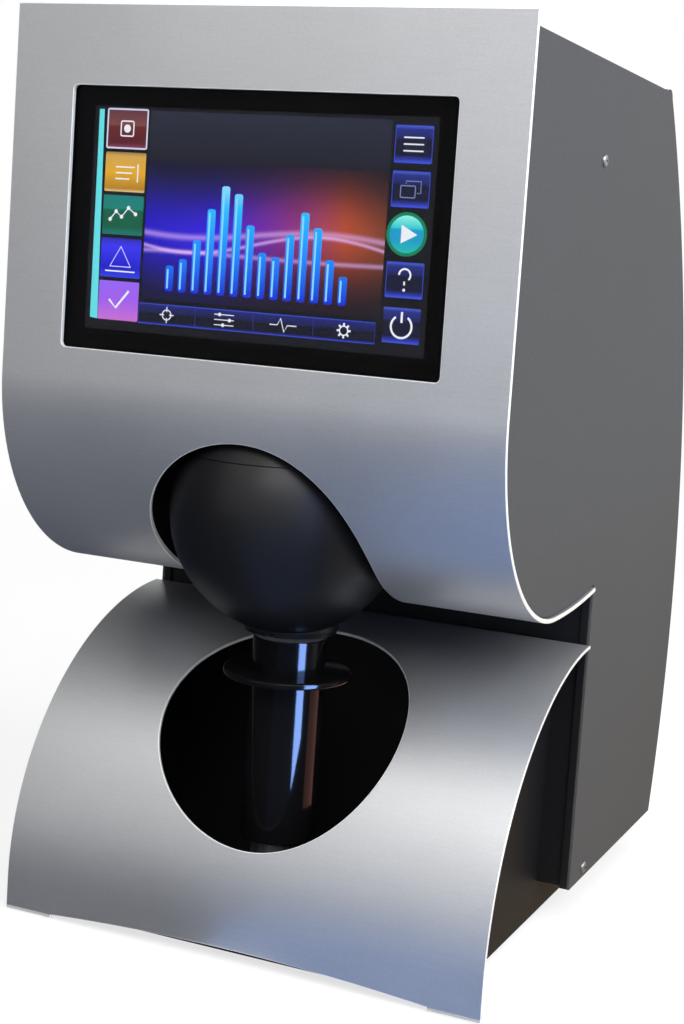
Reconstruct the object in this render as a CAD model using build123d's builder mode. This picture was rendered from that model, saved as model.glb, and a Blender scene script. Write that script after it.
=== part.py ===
from build123d import *
import math
import os

# Benchtop colorimeter with a touch screen, a dome-shaped measuring head and a
# spring-loaded sample plunger. Millimetres, +Z up, the front faces -Y. Depths
# are measured back from the flat front face.

# ---------------------------------------------------------------- driving sizes
WIDTH = 305.0               # over the front covers
CASE_DEPTH = 386.4          # front face to the rearmost point of the side panels
UPPER_SHEET = 2.5
LOWER_SHEET = 2.0
PANEL_SHEET = 2.0
REAR_SHEET = 1.5
FRAME_SHEET = 2.0           # tray, bulkhead, deck, service plate and rails
LINER_SHEET = 1.5

# clearances
COVER_GAP = 0.5             # side panel's edge to the inside of the J-shaped cover
OVERHANG = 2.0              # covers stand out past the side panels
RUN_CLEARANCE = 0.05        # radial, on sliding and turning fits
SLOT_CLEARANCE = 0.1        # flat sliding fits
SEAM = 0.3                  # between curved sheets that lie side by side
SCREW_CLEARANCE = 0.3       # radial, in screw holes

# feet and tray
TABLE_GAP = 1.0             # under the lower cover's tabs
FOOT_HEIGHT = 6.0
SIDE_BAY = 19.5             # side panel's inner face to the tray's edge

# lower cover: a quarter circle with a round hole
LOWER_FRONT = 29.0
LOWER_RADIUS = 160.0
LOWER_CENTRE_HIGH = 20.0
LOWER_SWEEP = 86.5
HOLE_RADIUS = 76.0
HOLE_ANGLE = 44.4
TAB_WIDTH = 31.5
TAB_STEP = 2.0
TAB_RISE = 5.0

# measuring head: a tilted egg-shaped shell over a sphere, above the plunger
COVER_SLOT = 27.0           # height between the two covers
AXIS_BACK = 50.0            # plunger axis behind the lower cover's front
SEAT_DROP = 20.0            # dome's seat below the upper cover's lowest line
DOME_ROUND = 66.0
DOME_STRETCH = 8.0
DOME_WALL = 3.0
DOME_TILT = -32.0
DOME_FORWARD = 12.0
DOME_RAISE = 65.5
DOME_HEADROOM = 4.16
DOME_GAP = 2.0              # between the dome and the arch
CAP_HEIGHT = 35.5           # parting line above the dome's centre
SPHERE_WALL = 4.0
SPHERE_ROOM = 18.0          # dome's round radius less the sphere's
SPHERE_RAISE = 51.0
LAMP_RAISE = 12.0
LAMP_PORT = 10.0            # outer radius of the lamp tube
LENS_TUBE = 13.0            # outer radius of the lens tube
TUBE_WALL = 2.0

# upper cover's J profile: quarter ellipse, then a lip that rises gently
J_DEPTH = 105.0
LIP_RADIUS = 472.0
LIP_SHORT = 3.0             # lip ends this far in front of the side panels' flange

# screen window
SCREEN_BORDER = 38.5
WINDOW_HEIGHT = 143.8
WINDOW_RADIUS = 3.0
WINDOW_RAISE = 16.6         # above the start of the J
WINDOW_HEAD = 43.6          # from the window to the cover's top edge
CASE_DROP = 7.0             # case top below the cover's top edge

# side panels: bowed rear edge
BOW_RADIUS = 582.8
BOW_HIGH = 170.0
PANEL_BOTTOM = 25.0
PANEL_SETBACK = 6.0         # flange in front of the lower cover's arc centre
FLANGE_WIDTH = 4.5
CORNER_RADIUS = 5.0
SIDE_SCREW = 1.9
SIDE_SCREW_HEAD = 3.6
HEAD_HEIGHT = 1.8

# plunger
PLUNGER_RADIUS = 21.9
PLUNGER_STEP = 0.5
PLUNGER_LENGTH = 122.0
APERTURE_RADIUS = 27.0
APERTURE_THICK = 2.5
APERTURE_PORT = 15.0
SAMPLE_GAP = 0.5
PAD_THICK = 3.0
FLANGE_RADIUS = 37.9
FLANGE_THICK = 4.0
FLANGE_BELOW = 22.5         # flange's top below the plunger's top
POST_RADIUS = 15.0
POST_OVERLAP = 23.0         # guide post's length inside the sleeve
SPRING_RADIUS = 11.0
SPRING_WIRE = 1.8
SPRING_TURNS = 9
CROWN = 12.0                # solid top of the sleeve with its pad

# optics behind the dome
BRACKET_SHEET = 3.0
FILTER_TRAVEL = 22.0
FILTER_PORT = 8.0

# rear recess
SERVICE_SETBACK = 24.4      # service plate in front of the rearmost point
FAN_SIZE = 80.0
FAN_THICK = 25.0
FAN_BORE = 37.5
FAN_HOLES = 35.75
FAN_HIGH = 140.0
FAN_EDGE = 27.0             # fan's frame to the tray's edge
HUB_RADIUS = 17.0
BLADES = 7
INLET_EDGE = 54.0           # middle of the inlet to the tray's edge
INLET_HIGH = 106.0
SWITCH_RAISE = 40.0
FUSE_DROP = 30.0
ROCKER_TILT = 8.0

# ---------------------------------------------------------------- derived places
PANEL_X = WIDTH / 2 - OVERHANG
PANEL_IN = PANEL_X - PANEL_SHEET
TRAY_X = PANEL_IN - SIDE_BAY
TAB_INNER = WIDTH / 2 - TAB_WIDTH
LOWER_CENTRE = (LOWER_FRONT + LOWER_RADIUS, LOWER_CENTRE_HIGH)
LOWER_INNER = LOWER_FRONT + LOWER_SHEET
TRAY_LOW = FOOT_HEIGHT
TRAY_TOP = TRAY_LOW + FRAME_SHEET
PANEL_FRONT = LOWER_CENTRE[0] - PANEL_SETBACK
BULKHEAD = PANEL_FRONT + FRAME_SHEET
BEHIND = BULKHEAD + FRAME_SHEET
LIP_END = PANEL_FRONT - LIP_SHORT

AXIS_DEPTH = LOWER_FRONT + AXIS_BACK
J_BOTTOM = LOWER_CENTRE[1] + LOWER_RADIUS + COVER_SLOT
SEAT_Z = J_BOTTOM - SEAT_DROP
DOME_LONG = DOME_ROUND + DOME_STRETCH
DOME_CENTRE = (AXIS_DEPTH - DOME_FORWARD, SEAT_Z + DOME_RAISE)
DOME_SPLIT = DOME_CENTRE[1] + CAP_HEIGHT
tilt = math.radians(DOME_TILT)
dome_reach = math.hypot(DOME_LONG * math.cos(tilt), DOME_ROUND * math.sin(tilt))
dome_rise = math.hypot(DOME_LONG * math.sin(tilt), DOME_ROUND * math.cos(tilt))
ARCH_RADIUS = DOME_ROUND + DOME_GAP
ARCH_BACK = AXIS_DEPTH - 4
ARCH_HIGH = J_BOTTOM + 23
J_START = DOME_CENTRE[1] + dome_rise + DOME_HEADROOM
J_DROP = J_START - J_BOTTOM
LIP_CENTRE = J_BOTTOM + LIP_RADIUS

WINDOW_WIDTH = WIDTH - 2 * SCREEN_BORDER
WINDOW_HIGH = J_START + WINDOW_RAISE + WINDOW_HEIGHT / 2
COVER_TOP = WINDOW_HIGH + WINDOW_HEIGHT / 2 + WINDOW_HEAD
CASE_TOP = COVER_TOP - CASE_DROP
BOW_CENTRE = (CASE_DEPTH - BOW_RADIUS, BOW_HIGH)

SPHERE_OUT = DOME_ROUND - SPHERE_ROOM
SPHERE_IN = SPHERE_OUT - SPHERE_WALL
SPHERE_FLANGE = SPHERE_OUT + SPHERE_WALL
SPHERE_Z = SEAT_Z + SPHERE_RAISE
LAMP_Z = SPHERE_Z + LAMP_RAISE
LINER_X = ARCH_RADIUS + 7
LINER_TOP = J_START + 1
BRACKET = AXIS_DEPTH + SPHERE_FLANGE + 10
BRACKET_BACK = BRACKET + BRACKET_SHEET
DECK_LOW = J_BOTTOM + 15
DECK_TOP = DECK_LOW + FRAME_SHEET
SPECTRO_LOW = LINER_TOP + LINER_SHEET + 17.5
SPECTRO_TOP = SPECTRO_LOW + 63

PLUNGER_TOP = SEAT_Z - APERTURE_THICK - SAMPLE_GAP
FLANGE_TOP = PLUNGER_TOP - FLANGE_BELOW
FLANGE_LOW = FLANGE_TOP - FLANGE_THICK
SLEEVE_BOTTOM = PLUNGER_TOP - PLUNGER_LENGTH
SLEEVE_TOP = PLUNGER_TOP - PAD_THICK
SPRING_TOP = PLUNGER_TOP - CROWN
POST_TOP = SLEEVE_BOTTOM + POST_OVERLAP

SERVICE = CASE_DEPTH - SERVICE_SETBACK
SERVICE_BACK = SERVICE + FRAME_SHEET
FAN_X, FAN_Z = TRAY_X - FAN_EDGE - FAN_SIZE / 2, FAN_HIGH
FAN_FRONT = SERVICE - FAN_THICK
INLET_X, INLET_Z = INLET_EDGE - TRAY_X, INLET_HIGH
SWITCH_Z = INLET_Z + SWITCH_RAISE
FUSE_Z = INLET_Z - FUSE_DROP

# crossbars: depth and height of the side screws that hold them
UPPER_BAR = (134.0, COVER_TOP - 62)
LOWER_BAR = (BEHIND + 22, PANEL_BOTTOM + 7)
BARS = (UPPER_BAR, LOWER_BAR)
BAR_HALF = 8.0

# the origin lies midway between the dome's nose and the rear of the side panels,
# so this is the Y of the flat front face
FRONT = -(DOME_CENTRE[0] - dome_reach + CASE_DEPTH) / 2

os.makedirs("parts", exist_ok=True)


# ---------------------------------------------------------------- helpers
def side_plane(x=0.0):
    """Sketch plane whose axes are depth and height, facing +X."""
    return Plane(origin=(x, FRONT, 0), x_dir=(0, 1, 0), z_dir=(1, 0, 0))


def face_plane(depth=0.0):
    """Sketch plane whose axes are X and height, facing the front."""
    return Plane(origin=(0, FRONT + depth, 0), x_dir=(1, 0, 0), z_dir=(0, -1, 0))


def block(x0, x1, d0, d1, z0, z1, mode=Mode.ADD):
    """A box between two X, two depths and two heights."""
    middle = ((x0 + x1) / 2, FRONT + (d0 + d1) / 2, (z0 + z1) / 2)
    with Locations(middle):
        Box(abs(x1 - x0), d1 - d0, z1 - z0, mode=mode)


def upright(x, depth, z0, z1, radius, mode=Mode.ADD):
    """A vertical cylinder."""
    with Locations((x, FRONT + depth, (z0 + z1) / 2)):
        Cylinder(radius, z1 - z0, mode=mode)


def rod_back(x, z, d0, d1, radius, mode=Mode.ADD):
    """A cylinder that runs front to back."""
    with Locations(Location((x, FRONT + (d0 + d1) / 2, z), (90, 0, 0))):
        Cylinder(radius, d1 - d0, mode=mode)


def rod_across(depth, z, x0, x1, radius, mode=Mode.ADD):
    """A cylinder that runs left to right."""
    with Locations(Location(((x0 + x1) / 2, FRONT + depth, z), (0, 90, 0))):
        Cylinder(radius, abs(x1 - x0), mode=mode)


def ball(depth, z, radius, mode=Mode.ADD):
    """A sphere on the middle plane."""
    with Locations((0, FRONT + depth, z)):
        Sphere(radius, mode=mode)


def lip_point(depth, radius):
    """Point of the lip's arc at a depth."""
    return (depth, LIP_CENTRE - math.sqrt(radius ** 2 - (depth - J_DEPTH) ** 2))


def j_edge(inset, last):
    """The J profile from its flat front to the lip, set in by some distance."""
    EllipticalCenterArc(
        (J_DEPTH, J_START), J_DEPTH - inset, J_DROP - inset, start_angle=180, arc_size=90
    )
    radius = LIP_RADIUS - inset
    ThreePointArc(
        (J_DEPTH, J_BOTTOM + inset), lip_point((J_DEPTH + last) / 2, radius), lip_point(last, radius)
    )


def bow_depth(z, inset=0.0):
    """Depth of the bowed rear edge at a height."""
    return BOW_CENTRE[0] + math.sqrt((BOW_RADIUS - inset) ** 2 - (z - BOW_HIGH) ** 2)


def save(builder, name):
    """Name a finished piece and write its file."""
    builder.part.label = name
    export_step(builder.part, f"parts/{name}.step")


# ---------------------------------------------------------------- front covers
with BuildPart() as upper_front_cover:
    with BuildSketch(side_plane(-WIDTH / 2)):
        with BuildLine():
            Line((0, COVER_TOP), (0, J_START))
            j_edge(0, LIP_END)
            Line(lip_point(LIP_END, LIP_RADIUS), lip_point(LIP_END, LIP_RADIUS - UPPER_SHEET))
            j_edge(UPPER_SHEET, LIP_END)
            Line((UPPER_SHEET, J_START), (UPPER_SHEET, COVER_TOP))
            Line((UPPER_SHEET, COVER_TOP), (0, COVER_TOP))
        make_face()
    extrude(amount=WIDTH)
    with BuildSketch(face_plane(-UPPER_SHEET)):
        with Locations((0, WINDOW_HIGH)):
            RectangleRounded(WINDOW_WIDTH, WINDOW_HEIGHT, WINDOW_RADIUS)
    extrude(amount=-3 * UPPER_SHEET, mode=Mode.SUBTRACT)
    with BuildSketch(face_plane(-UPPER_SHEET)):
        with Locations((0, ARCH_HIGH)):
            Circle(ARCH_RADIUS)
        with Locations((0, ARCH_HIGH - ARCH_RADIUS / 2)):
            Rectangle(2 * ARCH_RADIUS, ARCH_RADIUS)
    extrude(amount=-(ARCH_BACK + UPPER_SHEET), mode=Mode.SUBTRACT)
    upright(0, ARCH_BACK, J_BOTTOM - 5, ARCH_HIGH, ARCH_RADIUS, mode=Mode.SUBTRACT)
save(upper_front_cover, "upper_front_cover")

hole_tilt = math.radians(HOLE_ANGLE)
hole_plane = Plane(
    origin=(0, FRONT + LOWER_CENTRE[0], LOWER_CENTRE[1]),
    x_dir=(1, 0, 0),
    z_dir=(0, -math.cos(hole_tilt), math.sin(hole_tilt)),
)
with BuildPart() as lower_front_cover:
    with BuildSketch(side_plane(-WIDTH / 2)):
        with BuildLine():
            rim = CenterArc(LOWER_CENTRE, LOWER_RADIUS, 180, -LOWER_SWEEP)
            inner = CenterArc(LOWER_CENTRE, LOWER_RADIUS - LOWER_SHEET, 180, -LOWER_SWEEP)
            Line((LOWER_FRONT, TABLE_GAP), rim @ 0)
            Line(rim @ 1, inner @ 1)
            Line(inner @ 0, (LOWER_INNER, TABLE_GAP))
            Line((LOWER_INNER, TABLE_GAP), (LOWER_FRONT, TABLE_GAP))
        make_face()
    extrude(amount=WIDTH)
    with BuildSketch(hole_plane.offset(LOWER_RADIUS / 2)):
        Circle(HOLE_RADIUS)
    extrude(amount=LOWER_RADIUS, mode=Mode.SUBTRACT)
    with BuildSketch(face_plane(LOWER_FRONT - LOWER_SHEET)):
        with BuildLine():
            side = TABLE_GAP + TAB_STEP
            ThreePointArc((-TAB_INNER, side), (0, side + TAB_RISE), (TAB_INNER, side))
            Polyline((TAB_INNER, side), (TAB_INNER, -side), (-TAB_INNER, -side), (-TAB_INNER, side))
        make_face()
    extrude(amount=-3 * LOWER_SHEET, mode=Mode.SUBTRACT)
save(lower_front_cover, "lower_front_cover")

# ---------------------------------------------------------------- case panels
with BuildSketch() as case_outline:
    with Locations(BOW_CENTRE):
        Circle(BOW_RADIUS)
    with Locations(((UPPER_SHEET + COVER_GAP + CASE_DEPTH) / 2, (PANEL_BOTTOM + CASE_TOP) / 2)):
        Rectangle(CASE_DEPTH - UPPER_SHEET - COVER_GAP, CASE_TOP - PANEL_BOTTOM, mode=Mode.INTERSECT)
    fillet(vertices().group_by(Axis.Y)[-1].sort_by(Axis.X)[-1], CORNER_RADIUS)

with BuildSketch() as front_cutout:
    with BuildLine():
        Polyline((-UPPER_SHEET, J_START), (-UPPER_SHEET, 0), (PANEL_FRONT, 0))
        Line((PANEL_FRONT, 0), lip_point(PANEL_FRONT, LIP_RADIUS - UPPER_SHEET - COVER_GAP))
        j_edge(UPPER_SHEET + COVER_GAP, PANEL_FRONT)
        Line((UPPER_SHEET + COVER_GAP, J_START), (-UPPER_SHEET, J_START))
    make_face()


def side_panel(side):
    """L-shaped flat panel with a front return flange along its lower part."""
    with BuildPart() as panel:
        with BuildSketch(side_plane(PANEL_IN if side > 0 else -PANEL_X)):
            add(case_outline.sketch)
            add(front_cutout.sketch, mode=Mode.SUBTRACT)
        extrude(amount=PANEL_SHEET)
        edge = side * PANEL_IN
        flange_top = lip_point(PANEL_FRONT, LIP_RADIUS)[1]
        block(edge - side * FLANGE_WIDTH, edge, PANEL_FRONT, BULKHEAD, PANEL_BOTTOM, flange_top)
        for depth, height in BARS:
            rod_across(depth, height, -WIDTH, WIDTH, SIDE_SCREW + SCREW_CLEARANCE, mode=Mode.SUBTRACT)
    return panel


right_side_panel = side_panel(1)
save(right_side_panel, "right_side_panel")
left_side_panel = side_panel(-1)
save(left_side_panel, "left_side_panel")

TOP_END = bow_depth(CASE_TOP) - 13
HEM = 14.0
HEM_SHEET = 1.5
with BuildPart() as top_cover:
    block(-PANEL_IN, PANEL_IN, UPPER_SHEET, TOP_END, CASE_TOP - FRAME_SHEET, CASE_TOP)
    for side in (-1, 1):
        edge = side * PANEL_IN
        under = CASE_TOP - FRAME_SHEET
        block(edge, edge - side * HEM_SHEET, 25, TOP_END - 10, under - HEM, under)
save(top_cover, "top_cover")


def bowed_outline(inset, top, bottom, radius):
    """Filled outline bounded by the bowed rear arc and two levels."""
    with BuildSketch() as outline:
        with Locations(BOW_CENTRE):
            Circle(BOW_RADIUS - inset)
        with Locations(((TOP_END + CASE_DEPTH) / 2, (top + bottom) / 2)):
            Rectangle(CASE_DEPTH - TOP_END, top - bottom, mode=Mode.INTERSECT)
        fillet(outline.vertices().group_by(Axis.Y)[-1].sort_by(Axis.X)[-1], radius)
    return outline.sketch


REAR_INSET = 1.0
REAR_INNER = REAR_INSET + REAR_SHEET
RECESS_X = TRAY_X - LINER_SHEET
RECESS_LOW, RECESS_TOP = PANEL_BOTTOM + 19, DECK_LOW - LINER_SHEET
VENT_ROWS, VENT_PITCH, VENT_SLOT, VENT_WIDTH = 7, 9.0, 3.0, 64.0
with BuildPart() as rear_cover:
    with BuildSketch(side_plane(-PANEL_IN)):
        add(bowed_outline(REAR_INSET, CASE_TOP, PANEL_BOTTOM, CORNER_RADIUS))
        add(
            bowed_outline(REAR_INNER, CASE_TOP - REAR_SHEET, PANEL_BOTTOM - 5, CORNER_RADIUS - REAR_SHEET),
            mode=Mode.SUBTRACT,
        )
    extrude(amount=2 * PANEL_IN)
    block(-RECESS_X, RECESS_X, SERVICE - 22, CASE_DEPTH, RECESS_LOW, RECESS_TOP, mode=Mode.SUBTRACT)
    for row in range(VENT_ROWS):
        low = DECK_TOP + 76 + VENT_PITCH * row
        for middle in (-60, 60):
            left, right = middle - VENT_WIDTH / 2, middle + VENT_WIDTH / 2
            block(left, right, TOP_END, CASE_DEPTH, low, low + VENT_SLOT, mode=Mode.SUBTRACT)
save(rear_cover, "rear_cover")

# ---------------------------------------------------------------- base and inner frame
TRAY_WALL = 40.0
TRAY_LEDGE = 1.7
BAR_LOW, BAR_TOP = LOWER_BAR[1] - 6, LOWER_BAR[1] + 6
with BuildPart() as base_tray:
    block(-TRAY_X, TRAY_X, LOWER_INNER, SERVICE_BACK, TRAY_LOW, TRAY_TOP)
    block(-TRAY_X, TRAY_X, LOWER_INNER, LOWER_INNER + FRAME_SHEET, TRAY_LOW, TRAY_TOP + 12)
    for side in (-1, 1):
        edge = side * TRAY_X
        block(edge - side * FRAME_SHEET, edge, BEHIND, SERVICE, TRAY_LOW, TRAY_WALL)
        block(edge, side * (PANEL_IN - 0.2), BEHIND, SERVICE + 5, TRAY_WALL - TRAY_LEDGE, TRAY_WALL)
    block(
        -TRAY_X - 1, TRAY_X + 1, LOWER_BAR[0] - BAR_HALF - SEAM, LOWER_BAR[0] + BAR_HALF + SEAM,
        BAR_LOW - SEAM, BAR_TOP + SEAM, mode=Mode.SUBTRACT,
    )
    with Locations(*[(FAN_X + 8, FRONT + BEHIND + 45 + 12 * k, TRAY_LOW + 1) for k in range(8)]):
        Box(70, 4, 4, mode=Mode.SUBTRACT)
save(base_tray, "base_tray")

with BuildPart() as bay_walls:
    first = LOWER_INNER + FRAME_SHEET
    top = LOWER_CENTRE[1] + LOWER_RADIUS
    for left in (-TRAY_X, TRAY_X - FRAME_SHEET):
        with BuildSketch(side_plane(left)):
            with Locations(LOWER_CENTRE):
                Circle(LOWER_RADIUS - LOWER_SHEET - SEAM)
            with Locations(((first + BULKHEAD) / 2, (TRAY_TOP + top) / 2)):
                Rectangle(BULKHEAD - first, top - TRAY_TOP, mode=Mode.INTERSECT)
        extrude(amount=FRAME_SHEET)
save(bay_walls, "bay_walls")

with BuildPart() as bay_bulkhead:
    block(-TRAY_X, TRAY_X, BULKHEAD, BEHIND, TRAY_TOP, TRAY_WALL)
    block(-PANEL_IN + 2.5, PANEL_IN - 2.5, BULKHEAD, BEHIND, PANEL_BOTTOM + 1, DECK_LOW)
save(bay_bulkhead, "bay_bulkhead")

with BuildPart() as equipment_deck:
    block(-PANEL_IN, PANEL_IN, BRACKET_BACK, SERVICE_BACK, DECK_LOW, DECK_TOP)
    for row in range(6):
        depth = SERVICE - 62 + 9 * row
        block(-TRAY_X - 1, 89 - TRAY_X, depth, depth + 4, DECK_LOW - 1, DECK_TOP + 1, mode=Mode.SUBTRACT)
save(equipment_deck, "equipment_deck")

PORT_EDGES = ((-27.0, -11.0, -7.0, 7.0), (-1.0, 7.0, -7.5, 7.5), (15.0, 23.0, -7.5, 7.5))
PORT_Z = SWITCH_Z + 33
with BuildPart() as service_plate:
    block(-TRAY_X, TRAY_X, SERVICE, SERVICE_BACK, TRAY_TOP, DECK_LOW)
    for left in (-TRAY_X, TRAY_X - LINER_SHEET):
        with BuildSketch(side_plane(left)):
            with Locations(BOW_CENTRE):
                Circle(BOW_RADIUS - REAR_INNER - SEAM)
            with Locations(((SERVICE_BACK + CASE_DEPTH) / 2, (30 + DECK_LOW) / 2)):
                Rectangle(CASE_DEPTH - SERVICE_BACK, DECK_LOW - 30, mode=Mode.INTERSECT)
        extrude(amount=LINER_SHEET)
    roof_end = bow_depth(DECK_LOW, REAR_INNER) - 0.6
    block(-TRAY_X, TRAY_X, SERVICE_BACK, roof_end, DECK_LOW - LINER_SHEET, DECK_LOW)
    floor_end = bow_depth(RECESS_LOW - FRAME_SHEET, REAR_INNER) - SEAM
    block(-TRAY_X, TRAY_X, SERVICE_BACK, floor_end, RECESS_LOW - FRAME_SHEET, RECESS_LOW)
    rod_back(FAN_X, FAN_Z, SERVICE - 5, SERVICE + 5, FAN_BORE, mode=Mode.SUBTRACT)
    for dx in (-FAN_HOLES, FAN_HOLES):
        for dz in (-FAN_HOLES, FAN_HOLES):
            rod_back(FAN_X + dx, FAN_Z + dz, SERVICE - 5, SERVICE + 5, 2.1, mode=Mode.SUBTRACT)
    block(
        INLET_X - 15, INLET_X + 15, SERVICE - 5, SERVICE + 5, FUSE_Z - 12, SWITCH_Z + 12, mode=Mode.SUBTRACT
    )
    for x0, x1, z0, z1 in PORT_EDGES:
        block(
            INLET_X + x0, INLET_X + x1, SERVICE - 5, SERVICE + 5, PORT_Z + z0, PORT_Z + z1, mode=Mode.SUBTRACT
        )
save(service_plate, "service_plate")

BRACKET_HIGH = SPECTRO_TOP + 22
with BuildPart() as optics_bracket:
    block(-70, 70, BRACKET, BRACKET_BACK, DECK_LOW, BRACKET_HIGH)
    block(-45, 45, BRACKET_BACK, BRACKET_BACK + 28, DECK_TOP, DECK_TOP + 2)
    rod_back(0, LAMP_Z, BRACKET - 10, BRACKET + 10, LAMP_PORT + SCREW_CLEARANCE, mode=Mode.SUBTRACT)
    for x in (-35, 35):
        block(x - 14, x + 14, BRACKET - 5, BRACKET + 5, LAMP_Z + 40, LAMP_Z + 76, mode=Mode.SUBTRACT)
save(optics_bracket, "optics_bracket")

with BuildPart() as dome_bay_liner:
    inset = UPPER_SHEET + COVER_GAP
    for left in (-LINER_X - LINER_SHEET, LINER_X):
        with BuildSketch(side_plane(left)):
            with BuildLine():
                j_edge(inset, BRACKET)
                Polyline(
                    lip_point(BRACKET, LIP_RADIUS - inset), (BRACKET, LINER_TOP), (inset, LINER_TOP),
                    (inset, J_START),
                )
            make_face()
        extrude(amount=LINER_SHEET)
    outer = LINER_X + LINER_SHEET
    block(-outer, outer, inset, BRACKET, LINER_TOP, LINER_TOP + LINER_SHEET)
    upright(0, AXIS_DEPTH, LINER_TOP - 5, LINER_TOP + 5, LENS_TUBE + LINER_SHEET, mode=Mode.SUBTRACT)
save(dome_bay_liner, "dome_bay_liner")

with BuildPart() as upper_crossbar:
    depth, high = UPPER_BAR
    block(-PANEL_IN, PANEL_IN, depth - BAR_HALF, depth + BAR_HALF, high - BAR_HALF, high + BAR_HALF)
    hollow = BAR_HALF - 2
    block(
        18.5 - PANEL_IN, PANEL_IN - 18.5, depth - hollow, depth + hollow, high - hollow, high + hollow,
        mode=Mode.SUBTRACT,
    )
    rod_across(depth, high, -WIDTH, WIDTH, SIDE_SCREW + 0.1, mode=Mode.SUBTRACT)
save(upper_crossbar, "upper_crossbar")

with BuildPart() as lower_crossbar:
    depth, high = LOWER_BAR
    block(-PANEL_IN, PANEL_IN, depth - BAR_HALF, depth + BAR_HALF, BAR_LOW, BAR_TOP)
    for x in (17 - TRAY_X, TRAY_X - 17):
        block(x - 8, x + 8, depth - BAR_HALF, depth + BAR_HALF, TRAY_TOP, BAR_LOW)
    block(
        29 - TRAY_X, TRAY_X - 29, depth - BAR_HALF + 2, depth + BAR_HALF - 2, BAR_LOW + 2, BAR_TOP + 2,
        mode=Mode.SUBTRACT,
    )
    rod_across(depth, high, -WIDTH, WIDTH, SIDE_SCREW + 0.1, mode=Mode.SUBTRACT)
save(lower_crossbar, "lower_crossbar")

# angle strips that join the side panels to the back of the upper cover
RAIL_LEG = 19.5
with BuildPart() as cover_rails:
    low, high = J_START + 7, CASE_TOP - 18
    for side in (-1, 1):
        edge = side * PANEL_IN
        step = edge - side * FRAME_SHEET
        block(step, edge, UPPER_SHEET, UPPER_SHEET + RAIL_LEG, low, high)
        block(edge - side * 16.5, step, UPPER_SHEET, UPPER_SHEET + FRAME_SHEET, low, high)
save(cover_rails, "cover_rails")

# ---------------------------------------------------------------- dome
dome_plane = Plane(
    origin=(0, FRONT + DOME_CENTRE[0], DOME_CENTRE[1]),
    x_dir=(0, math.cos(tilt), math.sin(tilt)),
    z_dir=(1, 0, 0),
)
dome_axis = Axis(dome_plane.origin, dome_plane.x_dir)
DOME_BOX = 2 * DOME_LONG
GROOVE = 0.5
SEAT_BOSS = 28.0
SPIGOT = 20.5               # turning fit of the aperture plate in the seat


def egg(grow):
    """Solid egg shape, grown or shrunk all round."""
    with BuildPart() as body:
        with BuildSketch(dome_plane):
            Ellipse(DOME_LONG + grow, DOME_ROUND + grow)
            with Locations((0, DOME_BOX / 2)):
                Rectangle(2 * DOME_BOX, DOME_BOX, mode=Mode.INTERSECT)
        revolve(axis=dome_axis)
    return body.part


def dome_slab(z0, z1, mode=Mode.ADD):
    """A slab wider than the dome, between two heights."""
    block(-DOME_BOX, DOME_BOX, DOME_CENTRE[0] - DOME_BOX, DOME_CENTRE[0] + DOME_BOX, z0, z1, mode=mode)


egg_outer = egg(0)
egg_inner = egg(-DOME_WALL)
with BuildPart() as parting_groove:
    dome_slab(DOME_SPLIT - GROOVE, DOME_SPLIT + 1)
    add(egg(-GROOVE), mode=Mode.SUBTRACT)

with BuildPart() as dome_shroud:
    add(egg_outer)
    add(egg_inner, mode=Mode.SUBTRACT)
    dome_slab(SEAT_Z - 80, SEAT_Z, mode=Mode.SUBTRACT)
    upright(0, AXIS_DEPTH, SEAT_Z, SEAT_Z + 7, SEAT_BOSS)
    upright(0, AXIS_DEPTH, SEAT_Z - 7, SEAT_Z + 13, SPIGOT, mode=Mode.SUBTRACT)
    rod_back(0, LAMP_Z, AXIS_DEPTH + SPHERE_FLANGE + 2, BRACKET, 2 * LAMP_PORT)
    rod_back(0, LAMP_Z, BRACKET - 21, BRACKET + 9, LAMP_PORT + SCREW_CLEARANCE, mode=Mode.SUBTRACT)
    dome_slab(DOME_SPLIT, DOME_SPLIT + 100, mode=Mode.SUBTRACT)
    add(parting_groove.part, mode=Mode.SUBTRACT)
save(dome_shroud, "dome_shroud")

with BuildPart() as dome_cap:
    add(egg_outer)
    add(egg_inner, mode=Mode.SUBTRACT)
    dome_slab(DOME_SPLIT - 200, DOME_SPLIT, mode=Mode.SUBTRACT)
    upright(0, AXIS_DEPTH, DOME_SPLIT, LINER_TOP + 5, LENS_TUBE + LINER_SHEET, mode=Mode.SUBTRACT)
save(dome_cap, "dome_cap")

# ---------------------------------------------------------------- aperture plate
FINGER_NOTCH = 2.5
with BuildPart() as aperture_plate:
    seat = SEAT_Z - RUN_CLEARANCE
    upright(0, AXIS_DEPTH, SEAT_Z - APERTURE_THICK, seat, APERTURE_RADIUS)
    upright(0, AXIS_DEPTH, seat, SEAT_Z + 2.4, SPIGOT - RUN_CLEARANCE)
    upright(0, AXIS_DEPTH, SEAT_Z - 7, SEAT_Z + 7, APERTURE_PORT, mode=Mode.SUBTRACT)
    for angle in (30, 150, 270):
        x = APERTURE_RADIUS * math.cos(math.radians(angle))
        depth = AXIS_DEPTH + APERTURE_RADIUS * math.sin(math.radians(angle))
        upright(x, depth, SEAT_Z - 7, SEAT_Z, FINGER_NOTCH, mode=Mode.SUBTRACT)
save(aperture_plate, "aperture_plate")

# ---------------------------------------------------------------- integrating sphere
FLANGE_SCREWS = 6
SPHERE_FLANGE_THICK = 3.0


def screw_ring(z0, z1, size, mode):
    """Vertical holes or shanks around the sphere's flange."""
    radius = SPHERE_FLANGE - 2.2
    for k in range(FLANGE_SCREWS):
        angle = math.radians(360 * k / FLANGE_SCREWS)
        upright(radius * math.cos(angle), AXIS_DEPTH + radius * math.sin(angle), z0, z1, size, mode=mode)


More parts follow.
